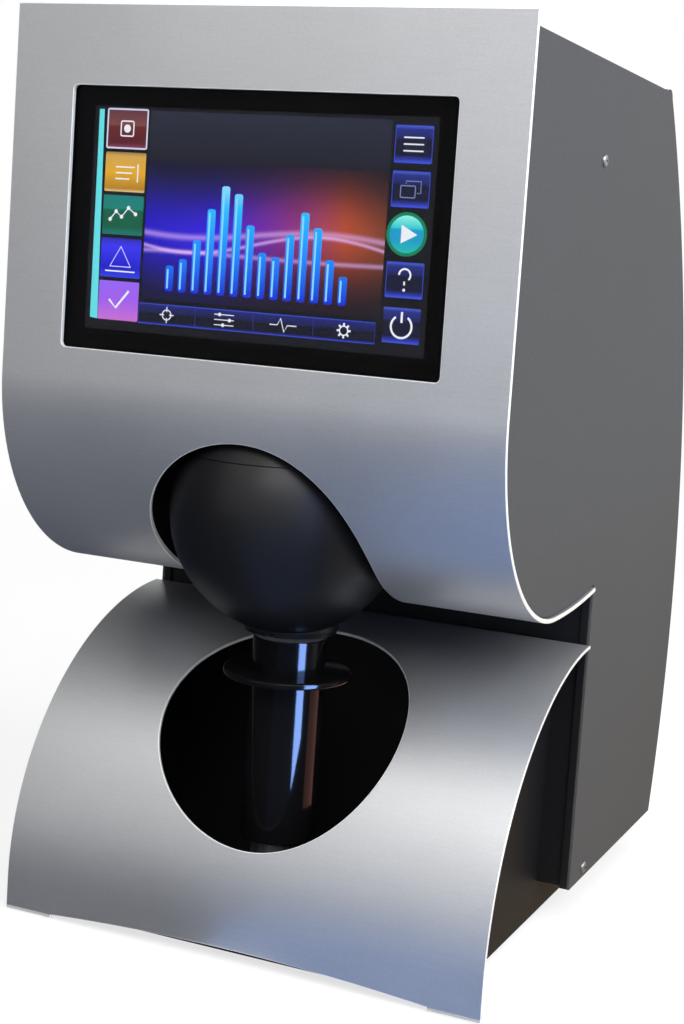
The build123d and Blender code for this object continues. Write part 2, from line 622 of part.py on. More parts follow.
joint_low, joint_top = SPHERE_Z - SPHERE_FLANGE_THICK, SPHERE_Z + SPHERE_FLANGE_THICK
PORT_BOSS = 20.0
with BuildPart() as sphere_lower_half:
    ball(AXIS_DEPTH, SPHERE_Z, SPHERE_OUT)
    upright(0, AXIS_DEPTH, joint_low, SPHERE_Z, SPHERE_FLANGE)
    upright(0, AXIS_DEPTH, SEAT_Z + 3, SEAT_Z + 9, PORT_BOSS)
    ball(AXIS_DEPTH, SPHERE_Z, SPHERE_IN, mode=Mode.SUBTRACT)
    dome_slab(SPHERE_Z, SPHERE_Z + 2 * SPHERE_OUT, mode=Mode.SUBTRACT)
    upright(0, AXIS_DEPTH, SEAT_Z - 7, SEAT_Z + 13, APERTURE_PORT, mode=Mode.SUBTRACT)
    screw_ring(joint_low - 5, joint_low + 5, 1.1, Mode.SUBTRACT)
save(sphere_lower_half, "sphere_lower_half")

LENS_PORT = LENS_TUBE - 5
sphere_crown = SPHERE_Z + SPHERE_OUT
with BuildPart() as sphere_upper_half:
    ball(AXIS_DEPTH, SPHERE_Z, SPHERE_OUT)
    upright(0, AXIS_DEPTH, SPHERE_Z, joint_top, SPHERE_FLANGE)
    upright(0, AXIS_DEPTH, sphere_crown - 6, sphere_crown + 4, LENS_TUBE)
    ball(AXIS_DEPTH, SPHERE_Z, SPHERE_IN, mode=Mode.SUBTRACT)
    dome_slab(SPHERE_Z - 2 * SPHERE_OUT, SPHERE_Z, mode=Mode.SUBTRACT)
    upright(0, AXIS_DEPTH, sphere_crown - 16, sphere_crown + 14, LENS_PORT, mode=Mode.SUBTRACT)
    rod_back(0, LAMP_Z, AXIS_DEPTH + 31, AXIS_DEPTH + 61, LAMP_PORT, mode=Mode.SUBTRACT)
    screw_ring(joint_top - 5, joint_top + 5, 1.1, Mode.SUBTRACT)
save(sphere_upper_half, "sphere_upper_half")

with BuildPart() as sphere_screws:
    screw_ring(joint_low, joint_top, 1.0, Mode.ADD)
    screw_ring(joint_top, joint_top + 1.6, 1.9, Mode.ADD)
save(sphere_screws, "sphere_screws")

LENS_LOW = sphere_crown + 14
LENS_RADIUS = LENS_TUBE - 3
LENS_EDGE, LENS_BULGE = 4.0, 1.5
with BuildPart() as lens_tube:
    upright(0, AXIS_DEPTH, sphere_crown + 4, SPECTRO_LOW, LENS_TUBE)
    upright(0, AXIS_DEPTH, sphere_crown, SPECTRO_LOW + 5, LENS_PORT, mode=Mode.SUBTRACT)
    upright(0, AXIS_DEPTH, LENS_LOW, SPECTRO_LOW + 5, LENS_RADIUS, mode=Mode.SUBTRACT)
save(lens_tube, "lens_tube")

curve = (LENS_RADIUS ** 2 + LENS_BULGE ** 2) / (2 * LENS_BULGE)
with BuildPart() as objective_lens:
    upright(0, AXIS_DEPTH, LENS_LOW, LENS_LOW + LENS_EDGE, LENS_RADIUS)
    ball(AXIS_DEPTH, LENS_LOW + LENS_EDGE + LENS_BULGE - curve, curve)
    upright(0, AXIS_DEPTH, LENS_LOW, LENS_LOW + 2 * LENS_EDGE, LENS_RADIUS, mode=Mode.INTERSECT)
save(objective_lens, "objective_lens")

SPECTRO_X = 55.0
SPECTRO_WALL = 3.0
SPECTRO_FRONT = AXIS_DEPTH - 38
with BuildPart() as spectrometer_housing:
    wall = SPECTRO_WALL
    block(-SPECTRO_X, SPECTRO_X, SPECTRO_FRONT, BRACKET, SPECTRO_LOW, SPECTRO_TOP)
    block(
        wall - SPECTRO_X, SPECTRO_X - wall, SPECTRO_FRONT + wall, BRACKET - wall,
        SPECTRO_LOW + wall, SPECTRO_TOP + wall, mode=Mode.SUBTRACT,
    )
    upright(0, AXIS_DEPTH, SPECTRO_LOW - 5, SPECTRO_LOW + 5, LENS_PORT, mode=Mode.SUBTRACT)
    for x in (9 - SPECTRO_X, SPECTRO_X - 9):
        for depth in (SPECTRO_FRONT + 9, BRACKET - 9):
            upright(x, depth, SPECTRO_LOW + wall, SPECTRO_TOP, 4)
save(spectrometer_housing, "spectrometer_housing")

with BuildPart() as spectrometer_lid:
    block(-SPECTRO_X, SPECTRO_X, SPECTRO_FRONT, BRACKET, SPECTRO_TOP, SPECTRO_TOP + SPECTRO_WALL)
    for k in range(5):
        rib = SPECTRO_FRONT + 17 + 14 * k
        block(15 - SPECTRO_X, SPECTRO_X - 15, rib, rib + 4, SPECTRO_TOP + SPECTRO_WALL, SPECTRO_TOP + 5)
save(spectrometer_lid, "spectrometer_lid")

# ---------------------------------------------------------------- lamp and filter
LAMP_X = 24.0
LAMP_WALL = 2.5
LAMP_FRONT, LAMP_BACK = BRACKET_BACK + 28, BRACKET_BACK + 78
NOSE_FRONT = LAMP_FRONT - 12
SLOT_FRONT, SLOT_BACK = NOSE_FRONT + 4, LAMP_FRONT - 4
FILTER_HALF = 14.0
with BuildPart() as lamp_tube:
    rod_back(0, LAMP_Z, AXIS_DEPTH + 44, NOSE_FRONT, LAMP_PORT)
    rod_back(0, LAMP_Z, AXIS_DEPTH + 36, NOSE_FRONT + 5, LAMP_PORT - TUBE_WALL, mode=Mode.SUBTRACT)
    ball(AXIS_DEPTH, SPHERE_Z, SPHERE_OUT - 1, mode=Mode.SUBTRACT)
save(lamp_tube, "lamp_tube")

with BuildPart() as lamp_housing:
    wall = LAMP_WALL
    block(-LAMP_X, LAMP_X, LAMP_FRONT, LAMP_BACK, DECK_TOP, LAMP_Z + 26)
    block(
        wall - LAMP_X, LAMP_X - wall, LAMP_FRONT + wall, LAMP_BACK - wall, DECK_TOP + 2, LAMP_Z + 26 - wall,
        mode=Mode.SUBTRACT,
    )
    block(-30, 30, NOSE_FRONT, LAMP_FRONT, LAMP_Z - 20, LAMP_Z + 20)
    rod_back(0, LAMP_Z, NOSE_FRONT - 5, LAMP_FRONT + 8, FILTER_PORT, mode=Mode.SUBTRACT)
    block(
        -40, 40, SLOT_FRONT, SLOT_BACK, LAMP_Z - FILTER_HALF, LAMP_Z + FILTER_HALF, mode=Mode.SUBTRACT
    )
    for k in range(6):
        fin = LAMP_FRONT + 4 + 8 * k
        for side in (-1, 1):
            block(side * LAMP_X, side * (LAMP_X + 6), fin, fin + 2, LAMP_Z - 22, LAMP_Z + 22)
save(lamp_housing, "lamp_housing")

BULB_RADIUS = 6.0
SOCKET_FRONT = LAMP_BACK - 19
with BuildPart() as lamp_bulb:
    rod_back(0, LAMP_Z, SOCKET_FRONT - 13, SOCKET_FRONT, BULB_RADIUS)
    ball(SOCKET_FRONT - 13, LAMP_Z, BULB_RADIUS)
save(lamp_bulb, "lamp_bulb")

with BuildPart() as lamp_socket:
    rod_back(0, LAMP_Z, SOCKET_FRONT, LAMP_BACK - LAMP_WALL, BULB_RADIUS + 2)
save(lamp_socket, "lamp_socket")

SLIDE_LEFT, SLIDE_RIGHT = -36.0, 22.0
ROD_RADIUS = 1.8
slot_middle = (SLOT_FRONT + SLOT_BACK) / 2
with BuildPart() as filter_slide:
    gap = SLOT_CLEARANCE
    block(
        SLIDE_LEFT, SLIDE_RIGHT, SLOT_FRONT + gap, SLOT_BACK - gap,
        LAMP_Z - FILTER_HALF + gap, LAMP_Z + FILTER_HALF - gap,
    )
    for x in (0, -FILTER_TRAVEL):
        rod_back(x, LAMP_Z, SLOT_FRONT - 4, SLOT_BACK + 2, FILTER_PORT, mode=Mode.SUBTRACT)
    rod_across(slot_middle, LAMP_Z, SLIDE_RIGHT, SLIDE_RIGHT + 52, ROD_RADIUS)
save(filter_slide, "filter_slide")

with BuildPart() as uv_filter:
    rod_back(-FILTER_TRAVEL, LAMP_Z, slot_middle - 1, slot_middle + 1, FILTER_PORT)
save(uv_filter, "uv_filter")

MOTOR_LEFT = SLIDE_RIGHT + 34
with BuildPart() as filter_actuator:
    block(MOTOR_LEFT, MOTOR_LEFT + 36, slot_middle - 12, slot_middle + 12, DECK_TOP, LAMP_Z + 12)
    bore = ROD_RADIUS + RUN_CLEARANCE
    rod_across(slot_middle, LAMP_Z, MOTOR_LEFT - 6, MOTOR_LEFT + 44, bore, mode=Mode.SUBTRACT)
    block(MOTOR_LEFT - 4, MOTOR_LEFT, slot_middle - 8, slot_middle + 8, DECK_TOP, DECK_TOP + 8)
save(filter_actuator, "filter_actuator")

# ---------------------------------------------------------------- plunger
sleeve_bore = POST_RADIUS + RUN_CLEARANCE
neck = PLUNGER_RADIUS - PLUNGER_STEP
with BuildPart() as plunger_sleeve:
    upright(0, AXIS_DEPTH, SLEEVE_BOTTOM, FLANGE_LOW, PLUNGER_RADIUS)
    upright(0, AXIS_DEPTH, FLANGE_LOW, SLEEVE_TOP, neck)
    upright(0, AXIS_DEPTH, SLEEVE_BOTTOM - 5, SPRING_TOP, sleeve_bore, mode=Mode.SUBTRACT)
save(plunger_sleeve, "plunger_sleeve")

with BuildPart() as plunger_flange:
    upright(0, AXIS_DEPTH, FLANGE_LOW, FLANGE_TOP, FLANGE_RADIUS)
    fillet(edges().filter_by(GeomType.CIRCLE), 0.4 * FLANGE_THICK)
    upright(0, AXIS_DEPTH, FLANGE_LOW - 5, FLANGE_TOP + 5, neck, mode=Mode.SUBTRACT)
save(plunger_flange, "plunger_flange")

with BuildPart() as sample_pad:
    upright(0, AXIS_DEPTH, SLEEVE_TOP, PLUNGER_TOP, neck - 0.4)
save(sample_pad, "sample_pad")

POST_FOOT = 34.0
POST_FOOT_HIGH = 12.0
with BuildPart() as guide_post:
    upright(0, AXIS_DEPTH, TRAY_TOP, TRAY_TOP + POST_FOOT_HIGH, POST_FOOT)
    chamfer(edges().filter_by(GeomType.CIRCLE).group_by(Axis.Z)[-1], 2)
    upright(0, AXIS_DEPTH, TRAY_TOP + POST_FOOT_HIGH, POST_TOP, POST_RADIUS)
save(guide_post, "guide_post")

spring_low = POST_TOP + SPRING_WIRE / 2
spring_high = SPRING_TOP - SPRING_WIRE / 2
with BuildPart() as plunger_spring:
    with BuildLine() as coil:
        Helix(
            pitch=(spring_high - spring_low) / SPRING_TURNS, height=spring_high - spring_low,
            radius=SPRING_RADIUS, center=(0, FRONT + AXIS_DEPTH, spring_low),
        )
    with BuildSketch(Plane(origin=coil.line @ 0, z_dir=coil.line % 0)):
        Circle(SPRING_WIRE / 2)
    sweep()
save(plunger_spring, "plunger_spring")

# ---------------------------------------------------------------- display
window_x, window_z = WINDOW_WIDTH / 2, WINDOW_HEIGHT / 2
GLASS_THICK = 2.0
GLASS_BACK = UPPER_SHEET + GLASS_THICK
LCD_BACK = GLASS_BACK + 5
FRAME_BACK = LCD_BACK + 2
with BuildPart() as touch_glass:
    edge_x, edge_z = window_x + 6, window_z + 6.1
    block(-edge_x, edge_x, UPPER_SHEET, GLASS_BACK, WINDOW_HIGH - edge_z, WINDOW_HIGH + edge_z)
save(touch_glass, "touch_glass")

lcd_x, lcd_z = window_x - 4, window_z - 1.9
with BuildPart() as lcd_panel:
    block(-lcd_x, lcd_x, GLASS_BACK, LCD_BACK, WINDOW_HIGH - lcd_z, WINDOW_HIGH + lcd_z)
save(lcd_panel, "lcd_panel")

with BuildPart() as lcd_back_frame:
    rim_x, rim_z = lcd_x + 4, lcd_z + 4
    block(-rim_x, rim_x, GLASS_BACK, FRAME_BACK, WINDOW_HIGH - rim_z, WINDOW_HIGH + rim_z)
    block(-lcd_x, lcd_x, 0, LCD_BACK, WINDOW_HIGH - lcd_z, WINDOW_HIGH + lcd_z, mode=Mode.SUBTRACT)
save(lcd_back_frame, "lcd_back_frame")

STUD_RADIUS = 3.0
BOARD_FRONT = FRAME_BACK + FRAME_SHEET + 6
with BuildPart() as display_bracket:
    plate_x, plate_z = window_x + 14, window_z - 11.9
    block(
        -plate_x, plate_x, FRAME_BACK, FRAME_BACK + FRAME_SHEET, WINDOW_HIGH - plate_z, WINDOW_HIGH + plate_z
    )
    block(
        38 - plate_x, plate_x - 38, FRAME_BACK - 2, FRAME_BACK + 6, WINDOW_HIGH - plate_z + 30,
        WINDOW_HIGH + plate_z - 30, mode=Mode.SUBTRACT,
    )
    for x in (STUD_RADIUS - plate_x, plate_x - STUD_RADIUS):
        for z in (WINDOW_HIGH - plate_z + 5, WINDOW_HIGH + plate_z - 5):
            rod_back(x, z, UPPER_SHEET, FRAME_BACK, STUD_RADIUS)
    for x in (32 - plate_x, plate_x - 32):
        for z in (WINDOW_HIGH - plate_z + 20, WINDOW_HIGH + plate_z - 20):
            rod_back(x, z, FRAME_BACK + FRAME_SHEET, BOARD_FRONT, STUD_RADIUS)
save(display_bracket, "display_bracket")

BOARD_THICK = 1.6


def circuit_board(x0, x1, z0, z1, depth, parts):
    """An upright board with raised components on its rear face, each given by its
    middle from the board's lower left corner, its width, height and thickness."""
    back = depth + BOARD_THICK
    with BuildPart() as board:
        block(x0, x1, depth, back, z0, z1)
        for x, z, w, h, t in parts:
            block(x0 + x - w / 2, x0 + x + w / 2, back, back + t, z0 + z - h / 2, z0 + z + h / 2)
    return board


board_x = window_x - 12
display_board = circuit_board(
    -board_x, board_x, WINDOW_HIGH - 46, WINDOW_HIGH + 46, BOARD_FRONT,
    ((62, 52, 24, 24, 2), (112, 62, 16, 16, 1.6), (112, 27, 30, 10, 3), (162, 47, 12, 40, 5)),
)
save(display_board, "display_board")

# ---------------------------------------------------------------- electronics
BOARD_STAND = 8.0
MAIN_DEPTH = BEHIND + BOARD_STAND
MAIN_LEFT, MAIN_WIDTH = 9 - TRAY_X, 160.0
MAIN_LOW, MAIN_HEIGHT = 60.0, 145.0
main_board = circuit_board(
    MAIN_LEFT, MAIN_LEFT + MAIN_WIDTH, MAIN_LOW, MAIN_LOW + MAIN_HEIGHT, MAIN_DEPTH,
    ((100, 25, 40, 12, 6), (145, 70, 16, 50, 4), (15, 100, 14, 60, 8), (20, 30, 20, 20, 3)),
)
save(main_board, "main_board")

SINK_FINS = 8
SINK_SIZE = 50.0
with BuildPart() as heat_sink:
    sink_left, sink_low = MAIN_LEFT + 50, MAIN_LOW + 55
    back = MAIN_DEPTH + BOARD_THICK
    block(sink_left, sink_left + SINK_SIZE, back, back + 3.4, sink_low, sink_low + SINK_SIZE)
    pitch = (SINK_SIZE - 2) / (SINK_FINS - 1)
    for k in range(SINK_FINS):
        fin = sink_left + pitch * k
        block(fin, fin + 2, back + 3.4, back + 18.4, sink_low, sink_low + SINK_SIZE)
save(heat_sink, "heat_sink")

CONTROL_LOW = DECK_TOP + 6
CONTROL_RIGHT = PANEL_IN - 8.5
CONTROL_FRONT = BEHIND + 13
with BuildPart() as control_board:
    left = CONTROL_RIGHT - 100
    top = CONTROL_LOW + BOARD_THICK
    block(left, CONTROL_RIGHT, CONTROL_FRONT, CONTROL_FRONT + 130, CONTROL_LOW, top)
    for x, depth, w, l, h in (
        (30, 30, 18, 18, 2), (70, 50, 24, 12, 4), (50, 100, 60, 10, 8), (85, 15, 12, 20, 10)
    ):
        middle = CONTROL_FRONT + depth
        block(left + x - w / 2, left + x + w / 2, middle - l / 2, middle + l / 2, top, top + h)
save(control_board, "control_board")

with BuildPart() as board_standoffs:
    for x in (MAIN_LEFT + 5, MAIN_LEFT + MAIN_WIDTH - 5):
        for z in (MAIN_LOW + 6, MAIN_LOW + MAIN_HEIGHT - 6):
            rod_back(x, z, BEHIND, MAIN_DEPTH, STUD_RADIUS)
    for x in (CONTROL_RIGHT - 94, CONTROL_RIGHT - 6):
        for depth in (CONTROL_FRONT + 6, CONTROL_FRONT + 124):
            upright(x, depth, DECK_TOP, CONTROL_LOW, STUD_RADIUS)
save(board_standoffs, "board_standoffs")

DRIVER_FINS = 9
DRIVER_LEFT = 16.5 - PANEL_IN
DRIVER_FRONT = BEHIND + 13
with BuildPart() as lamp_driver:
    block(DRIVER_LEFT, DRIVER_LEFT + 70, DRIVER_FRONT, DRIVER_FRONT + 90, DECK_TOP, DECK_TOP + 22)
    for k in range(DRIVER_FINS):
        fin = DRIVER_LEFT + 68 * k / (DRIVER_FINS - 1)
        block(fin, fin + 2, DRIVER_FRONT, DRIVER_FRONT + 90, DECK_TOP + 22, DECK_TOP + 34)
save(lamp_driver, "lamp_driver")

SUPPLY_LEFT, SUPPLY_RIGHT = 7 - TRAY_X, 121 - TRAY_X
SUPPLY_FRONT, SUPPLY_BACK = LOWER_BAR[0] + BAR_HALF + 11, SERVICE - 32
SUPPLY_LENGTH = SUPPLY_BACK - SUPPLY_FRONT
SUPPLY_SHEET = 1.5
SUPPLY_HIGH = 44.0
supply_floor = TRAY_TOP + SUPPLY_SHEET
board_low = supply_floor + 5.5
with BuildPart() as supply_chassis:
    block(SUPPLY_LEFT, SUPPLY_RIGHT, SUPPLY_FRONT, SUPPLY_BACK, TRAY_TOP, supply_floor)
    for x in (SUPPLY_LEFT, SUPPLY_RIGHT - SUPPLY_SHEET):
        block(x, x + SUPPLY_SHEET, SUPPLY_FRONT, SUPPLY_BACK, supply_floor, TRAY_TOP + SUPPLY_HIGH)
    for x in (SUPPLY_LEFT + 10, SUPPLY_RIGHT - 10):
        for depth in (SUPPLY_FRONT + 8, SUPPLY_BACK - 8):
            upright(x, depth, supply_floor, board_low, STUD_RADIUS)
save(supply_chassis, "supply_chassis")

with BuildPart() as supply_board:
    left, top = SUPPLY_LEFT + 4, board_low + BOARD_THICK
    third = SUPPLY_LENGTH / 3
    block(left, SUPPLY_RIGHT - 4, SUPPLY_FRONT + 2, SUPPLY_BACK - 2, board_low, top)
    block(left + 38, left + 73, SUPPLY_FRONT + 22, SUPPLY_FRONT + 22 + third, top, top + 27.4)
    block(left + 82, left + 100, SUPPLY_FRONT + 17, SUPPLY_BACK - third, top, top + 23.4)
    for depth, radius, height in (
        (SUPPLY_BACK - 30, 7, 29.4), (SUPPLY_BACK - 14, 7, 29.4), (SUPPLY_FRONT + 17, 6, 19.4)
    ):
        upright(left + 18, depth, top, top + height, radius)
save(supply_board, "supply_board")

# ---------------------------------------------------------------- fan
SCREW_RADIUS = 2.0
HUB_PIN = 3.0


def fan_corners(d0, d1, radius, mode=Mode.ADD):
    """Rods or holes at the fan's four screws."""
    for dx in (-FAN_HOLES, FAN_HOLES):
        for dz in (-FAN_HOLES, FAN_HOLES):
            rod_back(FAN_X + dx, FAN_Z + dz, d0, d1, radius, mode=mode)


def fan_arms(depth, middle, size):
    """Four bars that stand out from the fan's centre at 45 degrees."""
    for angle in (45, 135, 225, 315):
        with Locations(Location((FAN_X, FRONT + depth, FAN_Z), (0, angle, 0))):
            with Locations((middle, 0, 0)):
                Box(*size)


with BuildPart() as fan_frame:
    half = FAN_SIZE / 2
    block(FAN_X - half, FAN_X + half, FAN_FRONT, SERVICE, FAN_Z - half, FAN_Z + half)
    rod_back(FAN_X, FAN_Z, FAN_FRONT - 1, SERVICE + 1, FAN_BORE, mode=Mode.SUBTRACT)
    fan_arms(FAN_FRONT + 2, (HUB_RADIUS + FAN_BORE) / 2, (FAN_BORE - HUB_RADIUS + 2.5, 4, 4))
    rod_back(FAN_X, FAN_Z, FAN_FRONT, FAN_FRONT + 4, HUB_RADIUS)
    rod_back(FAN_X, FAN_Z, FAN_FRONT + 4, FAN_FRONT + 12, HUB_PIN)
    fan_corners(FAN_FRONT - 1, SERVICE + 1, SCREW_RADIUS + 0.1, mode=Mode.SUBTRACT)
save(fan_frame, "fan_frame")

BLADE_PITCH = 35
with BuildPart() as fan_rotor:
    rod_back(FAN_X, FAN_Z, FAN_FRONT + 5, SERVICE - 2, HUB_RADIUS)
    for blade in range(BLADES):
        turn = blade * 360 / BLADES
        with Locations(Location((FAN_X, FRONT + FAN_FRONT + 14, FAN_Z), (0, turn, 0))):
            with Locations(Location((HUB_RADIUS + 9, 0, 0), (BLADE_PITCH, 0, 0))):
                Box(20, 17, 1.4)
    rod_back(FAN_X, FAN_Z, FAN_FRONT + 4, FAN_FRONT + 13, HUB_PIN + RUN_CLEARANCE, mode=Mode.SUBTRACT)
save(fan_rotor, "fan_rotor")

GUARD_SHEET = 1.2
GUARD_BACK = SERVICE_BACK + GUARD_SHEET
with BuildPart() as guard_slots:
    for outer, inner in ((38, 32), (29, 23), (20, 14)):
        rod_back(FAN_X, FAN_Z, SERVICE, SERVICE + 5, outer)
        rod_back(FAN_X, FAN_Z, SERVICE, SERVICE + 5, inner, mode=Mode.SUBTRACT)
    for angle in (0, 90):
        with Locations(Location((FAN_X, FRONT + SERVICE_BACK, FAN_Z), (0, angle, 0))):
            Box(FAN_SIZE + 10, 10, 3, mode=Mode.SUBTRACT)

with BuildPart() as fan_guard:
    rod_back(FAN_X, FAN_Z, SERVICE_BACK, GUARD_BACK, FAN_SIZE / 2 + 1)
    add(guard_slots.part, mode=Mode.SUBTRACT)
    fan_arms(SERVICE_BACK + GUARD_SHEET / 2, FAN_SIZE / 2 + 6, (18, GUARD_SHEET, 9))
    fan_corners(SERVICE, SERVICE + 5, SCREW_RADIUS + 0.1, mode=Mode.SUBTRACT)
save(fan_guard, "fan_guard")

with BuildPart() as fan_screws:
    fan_corners(SERVICE - 8, GUARD_BACK, SCREW_RADIUS)
    fan_corners(GUARD_BACK, GUARD_BACK + 2, SCREW_RADIUS + 1.6)
save(fan_screws, "fan_screws")

# ---------------------------------------------------------------- mains inlet, fuse and switch
PIVOT = SERVICE - 1.0
PIVOT_RADIUS = 1.5
FACE_BACK = SERVICE_BACK + 3
SOCKET_X, SOCKET_Z = 12.0, 8.0
FUSE_HALF = 6.0
with BuildPart() as mains_inlet:
    block(INLET_X - 25, INLET_X + 25, SERVICE_BACK, FACE_BACK, FUSE_Z - 16, SWITCH_Z + 16)
    block(INLET_X - 14.9, INLET_X + 14.9, SERVICE - 24, SERVICE_BACK, FUSE_Z - 11.9, SWITCH_Z + 11.9)
    for high, half, depth in ((INLET_Z, SOCKET_Z, SERVICE - 12), (FUSE_Z, FUSE_HALF, SERVICE - 18)):
        block(
            INLET_X - SOCKET_X, INLET_X + SOCKET_X, depth, FACE_BACK + 1, high - half, high + half,
            mode=Mode.SUBTRACT,
        )
    for dx, dz in ((-7, -2), (0, 2), (7, -2)):
        x, z = INLET_X + dx, INLET_Z + dz
        block(x - 1, x + 1, SERVICE - 12, SERVICE_BACK, z - 2, z + 2)
    for dx in (-20, 20):
        rod_back(INLET_X + dx, INLET_Z, SERVICE_BACK + 1, FACE_BACK + 1, 2.2, mode=Mode.SUBTRACT)
    block(
        INLET_X - 11.5, INLET_X + 11.5, SERVICE - 9, FACE_BACK + 1, SWITCH_Z - 8, SWITCH_Z + 8,
        mode=Mode.SUBTRACT,
    )
    rod_across(PIVOT, SWITCH_Z, INLET_X - 13, INLET_X + 13, PIVOT_RADIUS + RUN_CLEARANCE, mode=Mode.SUBTRACT)
save(mains_inlet, "mains_inlet")

with BuildPart() as fuse_drawer:
    side, rise = SOCKET_X - SLOT_CLEARANCE, FUSE_HALF - SLOT_CLEARANCE
    block(INLET_X - side, INLET_X + side, SERVICE - 17, SERVICE + 6.5, FUSE_Z - rise, FUSE_Z + rise)
    for x in (INLET_X - 6, INLET_X + 6):
        rod_back(x, FUSE_Z, SERVICE - 20, SERVICE + 1, 3.2, mode=Mode.SUBTRACT)
    block(INLET_X - 8, INLET_X + 8, SERVICE + 5.5, SERVICE + 8, FUSE_Z + 2, FUSE_Z + 4, mode=Mode.SUBTRACT)
save(fuse_drawer, "fuse_drawer")

rocker = math.radians(ROCKER_TILT)
rocker_plane = Plane(
    origin=(INLET_X - 11, FRONT + PIVOT, SWITCH_Z),
    x_dir=(0, math.cos(rocker), math.sin(rocker)),
    z_dir=(1, 0, 0),
)
with BuildPart() as power_switch:
    with BuildSketch(rocker_plane):
        with BuildLine():
            Polyline((-3, -5), (7.4, -6.4), (5.6, 0), (7.4, 6.4), (-3, 5), close=True)
        make_face()
    extrude(amount=22)
    rod_across(PIVOT, SWITCH_Z, INLET_X - 12.8, INLET_X + 12.8, PIVOT_RADIUS)
save(power_switch, "power_switch")

PORT_WALL = 0.9
SHELL_FRONT, SHELL_BACK = SERVICE - 14, SERVICE + 3
PLUG_DEPTH = SERVICE - 10
with BuildPart() as data_ports:
    for index, (x0, x1, z0, z1) in enumerate(PORT_EDGES):
        left, right = INLET_X + x0 + 0.2, INLET_X + x1 - 0.2
        low, high = PORT_Z + z0 + 0.2, PORT_Z + z1 - 0.2
        block(left, right, SHELL_FRONT, SHELL_BACK, low, high)
        wall = PORT_WALL
        block(
            left + wall, right - wall, PLUG_DEPTH, SHELL_BACK + 1, low + wall, high - wall, mode=Mode.SUBTRACT
        )
        if index > 0:
            block(left + 1.7, left + 3.3, SHELL_FRONT, SERVICE + 1, low + 1.7, high - 1.7)
        for z in (low - 1.8, high):
            block(left - 1.7, right + 1.7, SERVICE_BACK, SHELL_BACK, z, z + 1.8)
save(data_ports, "data_ports")

# ---------------------------------------------------------------- feet and screws
with BuildPart() as rubber_feet:
    for x in (29 - TRAY_X, TRAY_X - 29):
        for depth in (LOWER_FRONT + 33, SERVICE - 26):
            with Locations((x, FRONT + depth, FOOT_HEIGHT / 2)):
                Cone(10, 11, FOOT_HEIGHT)
save(rubber_feet, "rubber_feet")

with BuildPart() as side_screws:
    for side in (-1, 1):
        for depth, height in BARS:
            rod_across(depth, height, side * (PANEL_IN - 12.5), side * PANEL_X, SIDE_SCREW)
            rod_across(depth, height, side * PANEL_X, side * (PANEL_X + HEAD_HEIGHT), SIDE_SCREW_HEAD)
save(side_screws, "side_screws")
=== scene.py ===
from bisect import bisect_right
import math

import bmesh
import bpy
from mathutils import Matrix, Vector


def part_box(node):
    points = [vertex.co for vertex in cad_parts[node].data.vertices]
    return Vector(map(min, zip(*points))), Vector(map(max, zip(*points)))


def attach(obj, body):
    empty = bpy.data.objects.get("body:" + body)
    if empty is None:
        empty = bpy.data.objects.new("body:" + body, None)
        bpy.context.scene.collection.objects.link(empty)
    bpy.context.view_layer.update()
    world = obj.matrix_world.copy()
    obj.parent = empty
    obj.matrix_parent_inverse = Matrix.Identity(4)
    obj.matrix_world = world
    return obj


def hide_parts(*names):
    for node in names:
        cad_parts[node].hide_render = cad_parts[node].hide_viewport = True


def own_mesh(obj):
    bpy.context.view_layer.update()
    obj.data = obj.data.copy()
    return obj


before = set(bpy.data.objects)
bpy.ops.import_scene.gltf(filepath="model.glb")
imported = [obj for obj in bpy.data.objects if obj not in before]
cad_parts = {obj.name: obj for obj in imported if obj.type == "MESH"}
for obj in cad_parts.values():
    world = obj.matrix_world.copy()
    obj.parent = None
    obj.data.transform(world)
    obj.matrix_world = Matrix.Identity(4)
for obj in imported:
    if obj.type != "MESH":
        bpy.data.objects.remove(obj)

bl_info = {
    "name": "Benchtop Colorimeter",
    "version": (1, 0, 0),
    "blender": (4, 5, 0),
    "location": "3D View > Sidebar > Colorimeter",
    "description": "Dresses the parts of a benchtop colorimeter with detailed surfaces",
    "category": "Object",
}

# Shapes are worked out in millimetres as (across, depth, height): across from
# the middle, depth back from the flat front face, height above the table.
MM = 0.001
cover_low, cover_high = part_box("upper_front_cover")
panel_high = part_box("right_side_panel")[1]
FACE = cover_low.y
HALF_WIDTH, COVER_TOP = cover_high.x / MM, cover_high.z / MM
PANEL_OUT, CASE_TOP = panel_high.x / MM, panel_high.z / MM
SCREW_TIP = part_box("side_screws")[1].x / MM
CRISP = 40.0  # degrees; edges sharper than this stay sharp
LEVEL = 0.96  # a plate's face that looks up more than this share is its skin, and the others its rim


def srgb(red, green, blue):
    """Linear colour, with alpha, of a colour given as screen values from 0 to 255."""
    def linear(value):
        value /= 255
        return value / 12.92 if value <= 0.04045 else ((value + 0.055) / 1.055) ** 2.4
    return (linear(red), linear(green), linear(blue), 1.0)


def tinted(colour, factor):
    """A colour made lighter or darker."""
    return tuple(min(1.0, part * factor) for part in tuple(colour)[:3]) + (1.0,)


